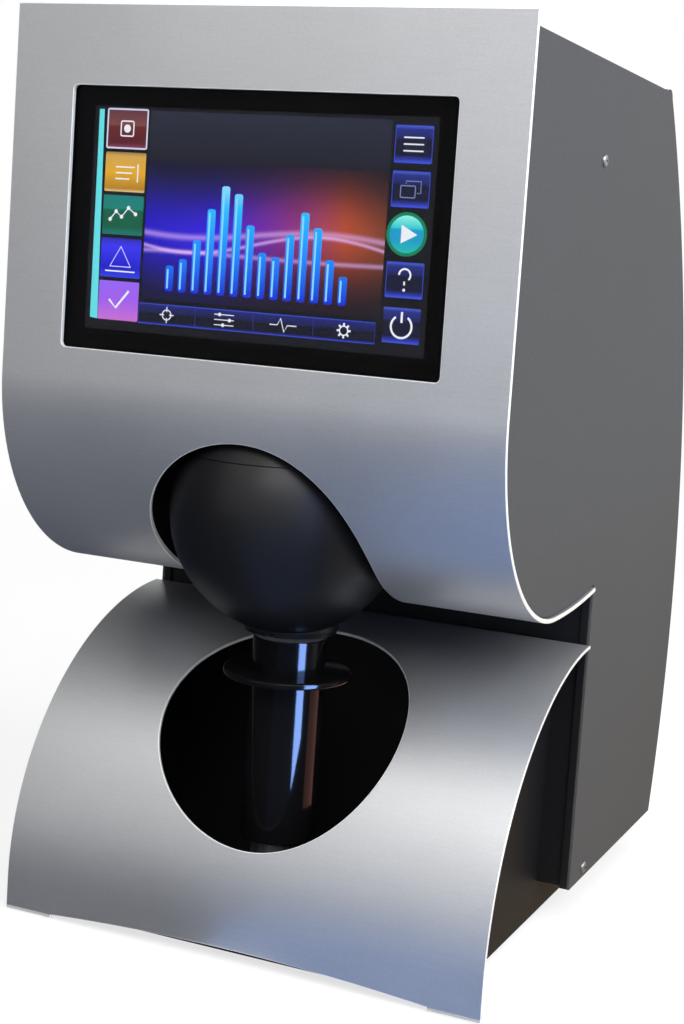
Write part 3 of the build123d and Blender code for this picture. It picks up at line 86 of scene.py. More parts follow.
# ---------------------------------------------------------------- node graphs
class Channel:
    """A node's output that takes part in ordinary arithmetic."""

    def __init__(self, graph, socket):
        self.graph, self.socket = graph, socket

    def reckon(self, operation, *values, clamp=False):
        """The result of a Math node on some values."""
        settings = {"operation": operation, "use_clamp": clamp}
        return self.graph.add("ShaderNodeMath", settings, dict(enumerate(values)))

    def __add__(self, other):
        return self.reckon("ADD", self, other)

    def __radd__(self, other):
        return self.reckon("ADD", other, self)

    def __sub__(self, other):
        return self.reckon("SUBTRACT", self, other)

    def __rsub__(self, other):
        return self.reckon("SUBTRACT", other, self)

    def __mul__(self, other):
        return self.reckon("MULTIPLY", self, other)

    def __rmul__(self, other):
        return self.reckon("MULTIPLY", other, self)

    def __truediv__(self, other):
        return self.reckon("DIVIDE", self, other)

    def __rtruediv__(self, other):
        return self.reckon("DIVIDE", other, self)

    def __neg__(self):
        return self.reckon("MULTIPLY", self, -1.0)

    def __abs__(self):
        return self.reckon("ABSOLUTE", self)

    def held(self):
        """The value kept between 0 and 1."""
        return self.reckon("ADD", self, 0.0, clamp=True)

    def fract(self):
        """What is left over of the value above a whole number."""
        return self.reckon("FRACT", self)

    def below(self, edge):
        """1 where the value is under an edge, and 0 elsewhere."""
        return self.reckon("LESS_THAN", self, edge)

    def above(self, edge, soft):
        """0 below an edge and 1 above it, over a soft width."""
        return self.reckon("MULTIPLY", self - (edge - soft / 2), 1 / soft, clamp=True)

    def hump(self, centre, width):
        """A bell curve of the value round a centre."""
        share = (self - centre) / width
        return self.reckon("POWER", math.e, -(share * share))


class Graph:
    """A node tree under construction."""

    def __init__(self, tree):
        self.tree = tree
        self.tree.nodes.clear()
        self.own = None

    def add(self, kind, settings=None, sockets=None, give=0):
        """Add a node: its settings first, then the values or links of its sockets.
        Gives one output as a channel, or several where give is a tuple."""
        made = self.tree.nodes.new(kind)
        for name, value in (settings or {}).items():
            if name == "stops":
                ramp = made.color_ramp.elements
                while len(ramp) < len(value):
                    ramp.new(1.0)
                for element, (position, colour) in zip(ramp, value):
                    element.position, element.color = position, colour
            else:
                setattr(made, name, value)
        for name, value in (sockets or {}).items():
            if isinstance(value, Channel):
                self.tree.links.new(value.socket, made.inputs[name])
            else:
                made.inputs[name].default_value = value
        if isinstance(give, tuple):
            return [Channel(self, made.outputs[name]) for name in give]
        return Channel(self, made.outputs[give]) if made.outputs else made

    def place(self, drawn=None):
        """The piece's own coordinates in metres, each scaled where drawn gives factors."""
        if self.own is None:
            self.own = self.add("ShaderNodeTexCoord", give="Object")
        if drawn is None:
            return self.own
        return self.add("ShaderNodeVectorMath", {"operation": "MULTIPLY"}, {0: self.own, 1: drawn})

    def axes(self):
        """The three coordinates of the place."""
        return self.add("ShaderNodeSeparateXYZ", None, {0: self.place()}, (0, 1, 2))

    def noise(self, scale, detail=2.0, rough=0.5, drawn=None):
        """Cloudy noise from 0 to 1, drawn out into lines where factors are given."""
        sockets = {"Vector": self.place(drawn), "Scale": scale, "Detail": detail, "Roughness": rough}
        return self.add("ShaderNodeTexNoise", {"noise_dimensions": "3D"}, sockets)

    def cells(self, scale):
        """Distance to the nearest of scattered points."""
        return self.add("ShaderNodeTexVoronoi", {"feature": "F1"}, {"Vector": self.place(), "Scale": scale})

    def mix(self, share, first, second):
        """Two colours mixed by a share."""
        settings = {"data_type": "RGBA", "blend_type": "MIX", "clamp_factor": True}
        return self.add("ShaderNodeMix", settings, {0: share, 6: first, 7: second}, 2)

    def shades(self, share, colour, low, high):
        """A colour between two of its shades, each a factor."""
        return self.mix(share, tinted(colour, low), tinted(colour, high))

    def ramp(self, value, *stops):
        """A colour that follows a value through stops."""
        return self.add("ShaderNodeValToRGB", {"stops": stops}, {0: value})

    def seen(self):
        """1 for what the camera sees itself, in gloss or through glass, and 0 for other light."""
        rays = ("Is Camera Ray", "Is Glossy Ray", "Is Transmission Ray")
        camera, gloss, glass = self.add("ShaderNodeLightPath", give=rays)
        return (camera + gloss + glass).held()


class Finish(Graph):
    """A procedural material."""

    made = {}
    inputs = {
        "metal": "Metallic", "shine": "Specular IOR Level", "clear": "Transmission Weight", "bending": "IOR",
        "glow": "Emission Color", "power": "Emission Strength",
    }

    def __init__(self, name):
        self.material = bpy.data.materials.new(name)
        self.material.use_nodes = True
        super().__init__(self.material.node_tree)

    def end(self, shader):
        """Puts out a shader and gives the material."""
        self.add("ShaderNodeOutputMaterial", None, {"Surface": shader})
        return self.material

    def surface(self, base, roughness, relief=None, height=None, strength=0.4, **others):
        """The usual shader. Relief is a channel that lifts the surface by a height."""
        sockets = {"Base Color": base, "Roughness": roughness}
        if relief is not None:
            bump = {"Height": relief, "Distance": height, "Strength": strength}
            sockets["Normal"] = self.add("ShaderNodeBump", None, bump)
        sockets.update((self.inputs[word], value) for word, value in others.items())
        return self.end(self.add("ShaderNodeBsdfPrincipled", None, sockets))

    def grained(self, grain, dark, light, rough, spread, *relief, **others):
        """A surface whose colour, roughness and relief all follow one grain."""
        base = self.mix(grain, (*dark, 1), (*light, 1))
        return self.surface(base, rough + spread * grain, *((grain, *relief) if relief else ()), **others)

    def shining(self, colour, strength=1.0):
        """An even light of its own."""
        return self.add("ShaderNodeEmission", None, {"Color": tuple(colour), "Strength": strength})


def finish(make):
    """Makes a finish once and gives the same material every time it is asked for."""
    def ask(*values):
        key = (make.__name__, *values)
        if key not in Finish.made:
            name = "_".join(part for part in key if isinstance(part, str))
            Finish.made[key] = make(Finish(name), *values)
        return Finish.made[key]
    return ask


# ---------------------------------------------------------------- finishes
def colours():
    return bpy.context.scene.colorimeter_colours


@finish
def satin_aluminium(f):
    """Fine-grained satin sheet with faint lines along its width."""
    hairline = f.noise(1500.0, 3.0, drawn=(0.03, 1.0, 1.0))
    grain = f.noise(1350.0, 2.0, 0.6)
    cloud = f.noise(11.0, 3.0)
    tone = (0.5 * grain + 0.22 * hairline + 0.28 * cloud).above(0.5, 0.5)
    base = f.shades(tone, colours().cover, 0.86, 1.13)
    rough = colours().cover_roughness + 0.07 * (grain - 0.5) + 0.06 * (cloud - 0.5)
    return f.surface(base, rough, 0.6 * grain + 0.4 * hairline, 0.00003, 0.35, metal=0.84)


@finish
def cut_edge(f):
    """Bright machined edge of the sheet."""
    marks = f.noise(1900.0, drawn=(1.0, 0.25, 0.25))
    base = f.shades(marks, colours().edge, 0.9, 1.04)
    return f.surface(base, 0.3 + 0.08 * marks, marks, 0.00001, 0.1, metal=0.55)


@finish
def grey_paint(f):
    """Dark grey metallic powder coat."""
    flake = f.cells(1100.0)
    peel = f.noise(420.0)
    cloud = f.noise(6.0, 3.0)
    panel = colours().panel
    base = f.shades((0.55 * flake + 0.45 * peel).above(0.42, 0.5), panel, 0.8, 1.28)
    base = f.mix(0.16 * cloud, base, tinted(panel, 0.55))
    return f.surface(base, 0.55 + 0.12 * (peel - 0.5), 0.6 * peel + 0.4 * flake, 0.00006, 0.35, shine=0.08)


@finish
def black_paint(f):
    """Fine matt black paint."""
    grain = f.noise(1500.0)
    dust = f.noise(22.0, 4.0).above(0.72, 0.2)
    base = f.mix(grain, (0.0035, 0.0035, 0.004, 1), (0.008, 0.008, 0.009, 1))
    base = f.mix(0.2 * dust, base, (0.03, 0.03, 0.032, 1))
    return f.surface(base, 0.5 + 0.16 * (grain - 0.5), grain, 0.00004, shine=0.12)


@finish
def dome_black(f):
    """Satin black moulding with a soft fine texture."""
    grain = f.noise(950.0, 3.0, 0.6)
    cloud = f.noise(24.0, 3.0)
    base = f.shades((0.7 * grain + 0.3 * cloud).above(0.5, 0.6), colours().dome, 0.75, 1.35)
    rough = 0.4 + 0.1 * (grain - 0.5) + 0.08 * (cloud - 0.5)
    return f.surface(base, rough, grain, 0.00004, 0.32, shine=0.2)


@finish
def gloss_black(f):
    """Polished black with the faintest turning marks."""
    turning = f.noise(1700.0, drawn=(0.1, 0.1, 1.0))
    smear = f.noise(35.0, 3.0)
    base = f.shades(smear, colours().plunger, 0.8, 1.3)
    return f.surface(base, 0.07 + 0.04 * smear + 0.03 * turning, turning, 0.00002, 0.12, shine=0.05)


@finish
def anodised_black(f):
    """Black anodised metal, turned."""
    turning = f.noise(800.0)
    dark, light = (0.0025, 0.0025, 0.003), (0.006, 0.006, 0.007)
    return f.grained(turning, dark, light, 0.32, 0.08, 0.000015, 0.12, shine=0.1)


@finish
def clear_panel(f):
    """Coated touch glass."""
    smear = f.noise(14.0, 4.0).above(0.62, 0.3)
    return f.surface((1.0, 1.0, 1.0, 1.0), 0.015 + 0.03 * smear, clear=1.0, bending=1.06)


@finish
def clear_glass(f):
    """Polished lens glass."""
    return f.surface((0.95, 0.98, 1.0, 1.0), 0.01 + 0.02 * f.noise(60.0), clear=1.0, bending=1.5)


@finish
def border_black(f):
    """Black border printed behind the glass."""
    dark, light = (0.0008, 0.0008, 0.001), (0.0016, 0.0016, 0.002)
    return f.grained(f.noise(2200.0, 1.0), dark, light, 0.3, 0.06, shine=0.02)


@finish
def zinc_sheet(f):
    """Zinc plated steel with its pale spangle."""
    spangle = f.cells(190.0)
    base = f.mix(spangle, (0.5, 0.51, 0.53, 1), (0.66, 0.67, 0.68, 1))
    return f.surface(base, 0.34 + 0.16 * spangle, f.noise(900.0), 0.00003, 0.3, metal=1.0)


@finish
def alloy(f):
    """Machined or extruded aluminium."""
    lines = f.noise(1400.0, drawn=(1.0, 0.06, 1.0))
    return f.grained(lines, (0.55, 0.56, 0.57), (0.68, 0.69, 0.7), 0.28, 0.14, 0.00003, 0.3, metal=1.0)


@finish
def plated_screw(f):
    """Plated steel of small fasteners."""
    mottle = f.noise(480.0, 3.0)
    return f.grained(mottle, (0.22, 0.22, 0.23), (0.42, 0.42, 0.43), 0.26, 0.2, 0.00004, 0.3, metal=1.0)


@finish
def spring_steel(f):
    """Drawn spring wire."""
    marks = f.noise(700.0, 3.0)
    return f.grained(marks, (0.34, 0.34, 0.35), (0.52, 0.52, 0.53), 0.24, 0.14, 0.00003, 0.3, metal=1.0)


@finish
def brass(f):
    """Turned brass."""
    dark, light = (0.58, 0.4, 0.16), (0.78, 0.58, 0.28)
    return f.grained(f.noise(900.0), dark, light, 0.25, 0.15, 0.00003, 0.3, metal=1.0)


@finish
def circuit_green(f):
    """Solder mask with fine tracks under it."""
    across, back, up = f.axes()
    rows = abs(((across + back + up) * 420.0).fract() - 0.5)
    patches = f.noise(70.0, 1.0).above(0.52, 0.06)
    tracks = rows.above(0.34, 0.1) * patches
    base = f.mix(tracks, (0.012, 0.075, 0.03, 1), (0.03, 0.16, 0.06, 1))
    pads = f.cells(210.0).below(0.16)
    base = f.mix(0.8 * pads, base, (0.55, 0.53, 0.48, 1))
    return f.surface(base, 0.3 + 0.1 * patches, tracks, 0.00004)


@finish
def rubber(f):
    """Moulded rubber."""
    dark, light = (0.014, 0.014, 0.014), (0.03, 0.03, 0.029)
    return f.grained(f.noise(700.0, 3.0), dark, light, 0.72, 0.12, 0.00008, 0.5)


@finish
def black_plastic(f):
    """Moulded black plastic with a spark texture."""
    return f.grained(f.noise(1300.0), (0.011, 0.011, 0.012), (0.022, 0.022, 0.023), 0.38, 0.16, 0.00006, 0.45)


@finish
def white_lining(f):
    """Diffuse white coating of the sphere."""
    return f.grained(f.noise(900.0, 3.0), (0.84, 0.84, 0.82), (0.93, 0.93, 0.91), 0.85, 0.1, 0.00005)


@finish
def ceramic(f):
    """Unglazed white ceramic."""
    return f.grained(f.noise(500.0, 3.0), (0.78, 0.76, 0.71), (0.88, 0.87, 0.83), 0.6, 0.2, 0.00005)


@finish
def soft_pad(f):
    """Soft black foam pad."""
    return f.grained(f.cells(1400.0), (0.012, 0.012, 0.012), (0.04, 0.04, 0.04), 0.85, 0.1, 0.0002, 0.6)


@finish
def painted_mark(f, tone):
    """Painted line of a plain mark."""
    level = {"white": 0.8, "grey": 0.3}[tone]
    return f.grained(f.noise(1200.0), (level * 0.9,) * 3, (level,) * 3, 0.5, 0.1)


@finish
def amber_window(f):
    """Clear amber window of a small unlit indicator."""
    return f.grained(f.noise(1500.0, 1.0), (0.34, 0.19, 0.03), (0.46, 0.27, 0.05), 0.18, 0.06)


def glow(f, colour):
    """A lit, dark-when-off surface."""
    rough = 0.35 + 0.05 * f.noise(2600.0, 0.0)
    return f.surface((0.004, 0.004, 0.006, 1.0), rough, glow=colour, power=colours().screen, shine=0.1)


def upward(f, low, high, pitch=None):
    """How far up a point is between two heights in millimetres; repeats at a pitch."""
    rise = f.axes()[2] * (1 / MM) - low
    share = (rise / pitch).fract() * (pitch / (high - low)) if pitch else rise / (high - low)
    return share.held()


# ---------------------------------------------------------------- making meshes
def circle(u, v, radius, count, start=0.0, turn=360.0):
    """Points round a circle, or along part of one with both its ends."""
    steps = count if turn == 360.0 else count - 1
    angles = [math.radians(start + turn * k / steps) for k in range(count)]
    return [(u + radius * math.cos(a), v + radius * math.sin(a)) for a in angles]


def rounded(u0, u1, v0, v1, radius, steps=6):
    """Points round a rectangle with round corners."""
    left, right, low, high = u0 + radius, u1 - radius, v0 + radius, v1 - radius
    corners = ((right, high), (left, high), (left, low), (right, low))
    return [point for k, corner in enumerate(corners) for point in circle(*corner, radius, steps, 90 * k, 90)]


def about(u, v, half_width, half_height, radius, steps=6):
    """Points round a rectangle with round corners, given by its middle."""
    return rounded(u - half_width, u + half_width, v - half_height, v + half_height, radius, steps)


def turned_by(points, degrees):
    """Flat points turned about the middle."""
    c, s = math.cos(math.radians(degrees)), math.sin(math.radians(degrees))
    return [(u * c - v * s, u * s + v * c) for u, v in points]


def as_is(u, v, w):
    """Leaves a form where it is: across, depth, height."""
    return (u, v, w)


def upright(x, depth):
    """Places a turned form with its axis upright."""
    return lambda u, v, w: (x + u, depth + v, w)


def from_front(x, z):
    """Places a form with its axis running back from the front; w is depth."""
    return lambda u, v, w: (x + u, w, z + v)


def from_side(depth, z):
    """Places a form with its axis running across; w is the distance across."""
    return lambda u, v, w: (w, depth + u, z + v)


def across(u, v, w):
    """Flat plates that stand along the sides: depth, height, distance across."""
    return (w, u, v)


facing = from_front(0.0, 0.0)


def outlined(part, loops, level):
    """Draws loops at a level; gives the last one's vertices, and all the edges."""
    edges = []
    for loop in loops:
        verts = [part.verts.new((u, v, level)) for u, v in loop]
        edges += [part.edges.new(pair) for pair in zip(verts, verts[1:] + verts[:1])]
    return verts, edges


def bridge(part, first, second, closed=True):
    """Joins two rows of vertices with a strip of faces."""
    count = len(first)
    for k in range(count if closed else count - 1):
        after = (k + 1) % count
        part.faces.new((first[k], second[k], second[after], first[after]))


def sliced(part, point, normal, clear=False):
    """Cuts the faces along a plane, and clears what lies beyond it."""
    everything = part.verts[:] + part.edges[:] + part.faces[:]
    bmesh.ops.bisect_plane(
        part, geom=everything, dist=0.0001, plane_co=point, plane_no=normal, clear_outer=clear)


class Shape:
    """A mesh under construction, from one or more forms."""

    def __init__(self):
        self.mesh = bmesh.new()

    def absorb(self, part):
        """Adds a form as it is."""
        carrier = bpy.data.meshes.new("carrier")
        part.to_mesh(carrier)
        part.free()
        self.mesh.from_mesh(carrier)
        bpy.data.meshes.remove(carrier)

    def take(self, part, place, material):
        """Adds a form, moved to its place, and gives its faces their materials."""
        for vert in part.verts:
            vert.co = place(*vert.co)
        for face in part.faces:
            face.material_index = material(face) if callable(material) else material
        bmesh.ops.recalc_face_normals(part, faces=part.faces)
        self.absorb(part)

    def plate(self, loops, low, high, place, rounding=0.0, steps=2, skin=0, rim=None, cuts=()):
        """A flat plate with holes, from an outline and hole loops, between two
        levels. Its rim is rounded, and cuts let it bend across its length."""
        part = bmesh.new()
        verts, edges = outlined(part, loops, high)
        if len(loops) == 1:
            part.faces.new(verts)
        else:
            bmesh.ops.triangle_fill(part, use_beauty=True, edges=edges)
            bmesh.ops.dissolve_limit(part, angle_limit=0.0005, verts=part.verts, edges=part.edges)
        for cut in cuts:
            sliced(part, (0, cut, 0), (0, 1, 0))
        top = part.faces[:]
        border = [e for e in part.edges if len(e.link_faces) == 1]
        twin = {v: part.verts.new((v.co.x, v.co.y, low)) for v in part.verts[:]}
        for face in top:
            part.faces.new([twin[v] for v in reversed(face.verts)])
        walls = {part.faces.new((e.verts[1], e.verts[0], twin[e.verts[0]], twin[e.verts[1]])) for e in border}
        bmesh.ops.recalc_face_normals(part, faces=part.faces)
        part.normal_update()
        if rounding:
            rims = [e for e in part.edges if sum(face in walls for face in e.link_faces) == 1]
            bmesh.ops.bevel(part, geom=rims, offset=rounding, segments=steps, profile=0.5, affect="EDGES")
            part.normal_update()
        on_rim = {face for face in part.faces if rim is not None and abs(face.normal.z) <= LEVEL}
        self.take(part, place, lambda face: rim if face in on_rim else skin)
        return self

    def turned(self, outline, place, segments=96, material=0, closed=False):
        """A form turned from (radius, level) points round an axis."""
        part = bmesh.new()
        rings = []
        for radius, level in outline:
            flat = [(0, 0)] if radius < 1e-6 else circle(0, 0, radius, segments)
            rings.append([part.verts.new((u, v, level)) for u, v in flat])
        for first, second in zip(rings, rings[1:] + (rings[:1] if closed else [])):
            if len(first) == len(second):
                bridge(part, first, second)
                continue
            (tip,), ring = sorted((first, second), key=len)
            for k in range(segments):
                part.faces.new((tip, ring[k], ring[(k + 1) % segments]))
        self.take(part, place, material)
        return self

    def block(self, x0, x1, d0, d1, z0, z1, rounding=0.4, steps=2, material=0):
        """A box with rounded edges."""
        part = bmesh.new()
        bmesh.ops.create_cube(part, size=1.0)
        sizes, middle = (x1 - x0, d1 - d0, z1 - z0), ((x0 + x1) / 2, (d0 + d1) / 2, (z0 + z1) / 2)
        for vert in part.verts:
            vert.co = [m + s * c for m, s, c in zip(middle, sizes, vert.co)]
        if rounding:
            offset = min(rounding, 0.45 * min(abs(s) for s in sizes))
            edges = part.edges[:]
            bmesh.ops.bevel(part, geom=edges, offset=offset, segments=steps, profile=0.5, affect="EDGES")
        self.take(part, as_is, material)
        return self

    def patch(self, loop, depth, material=0, way=-1):
        """A flat face from (across, height) points. It looks to the front, or to the
        rear where way is 1."""
        part = bmesh.new()
        face = part.faces.new([part.verts.new((u, depth, v)) for u, v in loop])
        face.material_index = material
        face.normal_update()
        if face.normal.y * way < 0:
            face.normal_flip()
        self.absorb(part)
        return self

    def stroke(self, points, width, depth, material=0, loop=False, way=-1):
        """A flat line through (across, height) points, that looks to the front or the rear."""
        count = len(points)
        sides = []
        for k, (u, v) in enumerate(points):
            before = points[k - 1] if k or loop else points[k]
            after = points[(k + 1) % count] if k + 1 < count or loop else points[k]
            along = Vector((after[0] - before[0], after[1] - before[1])).normalized()
            out = Vector((-along.y, along.x)) * (width / 2)
            sides.append(((u + out.x, v + out.y), (u - out.x, v - out.y)))
        for k in range(count if loop else count - 1):
            a, b = sides[k], sides[(k + 1) % count]
            self.patch([a[0], b[0], b[1], a[1]], depth, material, way)
        return self

    def ready(self, name, slot, finishes, replaces=None, body="chassis"):
        """The finished object, riding on its body, in place of a CAD node."""
        for vert in self.mesh.verts:
            x, depth, z = vert.co
            vert.co = (x * MM, FACE + depth * MM, z * MM)
        mesh = bpy.data.meshes.new(name)
        self.mesh.to_mesh(mesh)
        self.mesh.free()
        for material in finishes:
            mesh.materials.append(material)
        mesh.shade_smooth()
        mesh.set_sharp_from_angle(angle=math.radians(CRISP))
        piece = placed(name, mesh)
        piece.modifiers.new("even_shading", "WEIGHTED_NORMAL").keep_sharp = True
        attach(piece, body)
        if replaces:
            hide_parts(replaces)
        return piece


class Bend:
    """The curved profile that a flat sheet follows, from closely spaced points."""

    def __init__(self, points, side):
        self.points, self.side = points, side
        self.runs = [0.0]
        for a, b in zip(points, points[1:]):
            self.runs.append(self.runs[-1] + math.dist(a, b))

    def find(self, value, column):
        """Length along the profile where its depth or height reaches a value."""
        for k in range(len(self.points) - 1):
            a, b = self.points[k][column], self.points[k + 1][column]
            if min(a, b) <= value <= max(a, b) and a != b:
                return self.runs[k] + (value - a) / (b - a) * (self.runs[k + 1] - self.runs[k])
        raise ValueError(f"the profile has no point at {value}")

    def place(self, u, v, w):
        """A flat point (across, along, inwards) on the bent sheet."""
        low = min(max(bisect_right(self.runs, v) - 1, 0), len(self.runs) - 2)
        a, b = self.points[low], self.points[low + 1]
        length = self.runs[low + 1] - self.runs[low]
        c, s = (b[0] - a[0]) / length, (b[1] - a[1]) / length
        run, inward = v - self.runs[low], w * self.side
        return (u, a[0] + c * run - s * inward, a[1] + s * run + c * inward)

    def outside(self, x, along):
        """Places a turned form on the outside of the sheet; w is the distance outwards."""
        return lambda u, v, w: self.place(x + u, along + v, -w)


def dress(nodes, material):
    """Gives CAD nodes their finish."""
    for name in nodes.split():
        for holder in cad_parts[name].material_slots:
            holder.material = material


# ---------------------------------------------------------------- what a user can change
def colour_property(name, description, *default):
    return bpy.props.FloatVectorProperty(
        name=name, description=description, default=(*default, 1.0), size=4, min=0.0, max=1.0,
        subtype="COLOR")


def length_property(name, description, default):
    return bpy.props.FloatProperty(
        name=name, description=description, default=default * MM, min=0.0, unit="LENGTH", subtype="DISTANCE",
        precision=5)


def level_property(name, description, default):
    return bpy.props.FloatProperty(name=name, description=description, default=default, min=0.0)


class ColorimeterSizes(bpy.types.PropertyGroup):
    upper_sheet: length_property("Upper sheet", "Thickness of the J-shaped cover", 2.5)
    lower_sheet: length_property("Lower sheet", "Thickness of the quarter-round cover", 2.0)
    edge_round: length_property("Edge rounding", "Rounding along the rims of the sheets", 0.35)
    screw_head: length_property("Screw head", "Radius of the screw heads on the sides", 3.6)
    icon_line: length_property("Icon line", "Width of the drawn lines on the display", 0.75)


class ColorimeterColours(bpy.types.PropertyGroup):
    cover: colour_property("Covers", "Satin aluminium of the two front covers", 0.41, 0.415, 0.42)
    edge: colour_property("Cut edges", "Bright edges of the covers", 0.8, 0.82, 0.83)
    panel: colour_property("Case", "Dark grey paint of the case", 0.044, 0.045, 0.047)
    dome: colour_property("Dome", "Satin black of the measuring head", 0.004, 0.004, 0.0048)
    plunger: colour_property("Plunger", "Polished black of the plunger", 0.003, 0.003, 0.0035)
    cover_roughness: bpy.props.FloatProperty(
        name="Cover roughness", description="How satin the covers are", default=0.42, min=0.0, max=1.0,
        subtype="FACTOR")
    screen: level_property("Screen", "Brightness of the lit display", 1.0)


class ColorimeterStage(bpy.types.PropertyGroup):
    floor: colour_property("Floor", "Colour of the floor and backdrop", 0.82, 0.82, 0.82)
    card: colour_property("Left card", "Dark card that shades reflections from the left", 0.03, 0.03, 0.035)
    ceiling_card: colour_property("Ceiling card", "Dim card above", 0.14, 0.14, 0.15)
    warm_card: colour_property("Right floor card", "Warm card on the floor at the right", 0.6, 0.44, 0.28)
    floor_card: colour_property("Left floor card", "Dark card on the floor at the left", 0.04, 0.05, 0.09)
    far_card: colour_property("Far floor card", "Dim card farther off at the left", 0.2, 0.21, 0.25)
    high_card: colour_property("High cards", "Bright cards at the front, seen in the covers", 1.0, 0.99, 0.97)
    blue_card: colour_property("Front floor card", "Cool card on the floor in front", 0.2, 0.36, 0.8)
    strip_card: colour_property("Strip cards", "Narrow bright cards at the right", 0.25, 0.43, 1.0)
    brown_card: colour_property("Bay card", "Dim brown card in the sample bay", 1.0, 0.45, 0.35)
    key: level_property("Key light", "Power of the large soft light at the front, in watts", 52.0)
    fill: level_property("Side light", "Power of the soft light at the right, in watts", 75.0)
    top: level_property("Top light", "Power of the soft light overhead, in watts", 20.0)
    ambient: level_property("Ambient", "Level of the even light from all round", 0.45)


def sizes():
    return bpy.context.scene.colorimeter_sizes


# ---------------------------------------------------------------- stage
# The stage is laid out in metres and degrees from the front, to the right.
AXIS_DEPTH = 79.0  # of the plunger and its aperture, in millimetres
MIDDLE = (0.0, -0.05, 0.26)
WHITE = (1.0, 1.0, 1.0, 1.0)
FLOOR_RADIUS = 7.0
# Soft lights: name, place, size, power and tint.
LIGHTS = (
    ("key_light", (0.7, -1.9, 2.0), (1.5, 1.5), "key", (1.0, 0.99, 0.97)),
    ("side_light", (1.8, -0.5, 1.5), (2.2, 1.3), "fill", (0.96, 0.98, 1.0)),
    ("top_light", (0.3, 0.0, 2.4), (2.0, 2.0), "top", (1.0, 1.0, 1.0)),
)
# Cards: name, first and last angle, (radius, height) of both edges, colour and strength.
CARDS = (
    ("left_card", -140.0, -41.0, (1.8, 0.0), (1.8, 2.4), "card", 1.0),
    ("ceiling_card", -180.0, 180.0, (0.01, 2.45), (1.75, 2.45), "ceiling_card", 1.0),
    ("right_floor_card", 74.0, 176.0, (0.12, 0.003), (1.8, 0.003), "warm_card", 1.0),
    ("left_floor_card", -150.0, -10.0, (0.12, 0.003), (1.8, 0.003), "floor_card", 1.0),
    ("far_floor_card", -90.0, -16.0, (1.8, 0.003), (4.5, 0.003), "far_card", 1.0),
    ("high_card", -50.0, 4.0, (1.8, 1.15), (1.25, 2.42), "high_card", 1.85),
    ("front_card", -26.0, 24.0, (1.79, 0.45), (1.79, 1.1), "high_card", 1.3),
    ("front_floor_card", -10.0, 56.0, (0.12, 0.003), (1.8, 0.003), "blue_card", 1.0),
    ("cool_card", 48.0, 78.0, (0.9, 0.0), (0.9, 1.1), "strip_card", 7.0),
)
# The same round the plunger's axis, for cards that only the plunger reflects.
PLUNGER_CARDS = (
    ("strip_card", 57.0, 79.0, (0.6, 0.0), (0.6, 0.6), "strip_card", 230.0),
    ("strip_floor_card", 57.0, 79.0, (0.17, 0.004), (0.6, 0.004), "strip_card", 230.0),
    ("bay_card", 90.0, 124.0, (0.058, 0.07), (0.058, 0.15), "brown_card", 4.3),
)
# The camera: its place, its turn, and its frame, aim and focal length in pixels.
EYE = (0.4347, -0.98335, 0.39677)
TURN = ((0.92506, -0.10273, 0.36560), (0.37264, 0.06087, -0.92590), (0.07286, 0.99273, 0.09460))
WIDE, HIGH, AIM_X, AIM_Y, FOCAL = 684, 1024, 449.65, 435.58, 1690.26
SENSOR = 36.0


def placed(name, data):
    """A new object in the scene."""
    thing = bpy.data.objects.new(name, data)
    bpy.context.scene.collection.objects.link(thing)
    return thing


def backdrop(name, rows, material):
    """A sheet of the stage between two rows of points, or inside one."""
    sheet = bmesh.new()
    rows = [[sheet.verts.new(point) for point in row] for row in rows]
    if len(rows) == 1:
        sheet.faces.new(rows[0])
    else:
        bridge(sheet, *rows, closed=False)
    mesh = bpy.data.meshes.new(name)
    sheet.to_mesh(mesh)
    sheet.free()
    mesh.materials.append(material)
    piece = placed(name, mesh)
    return piece


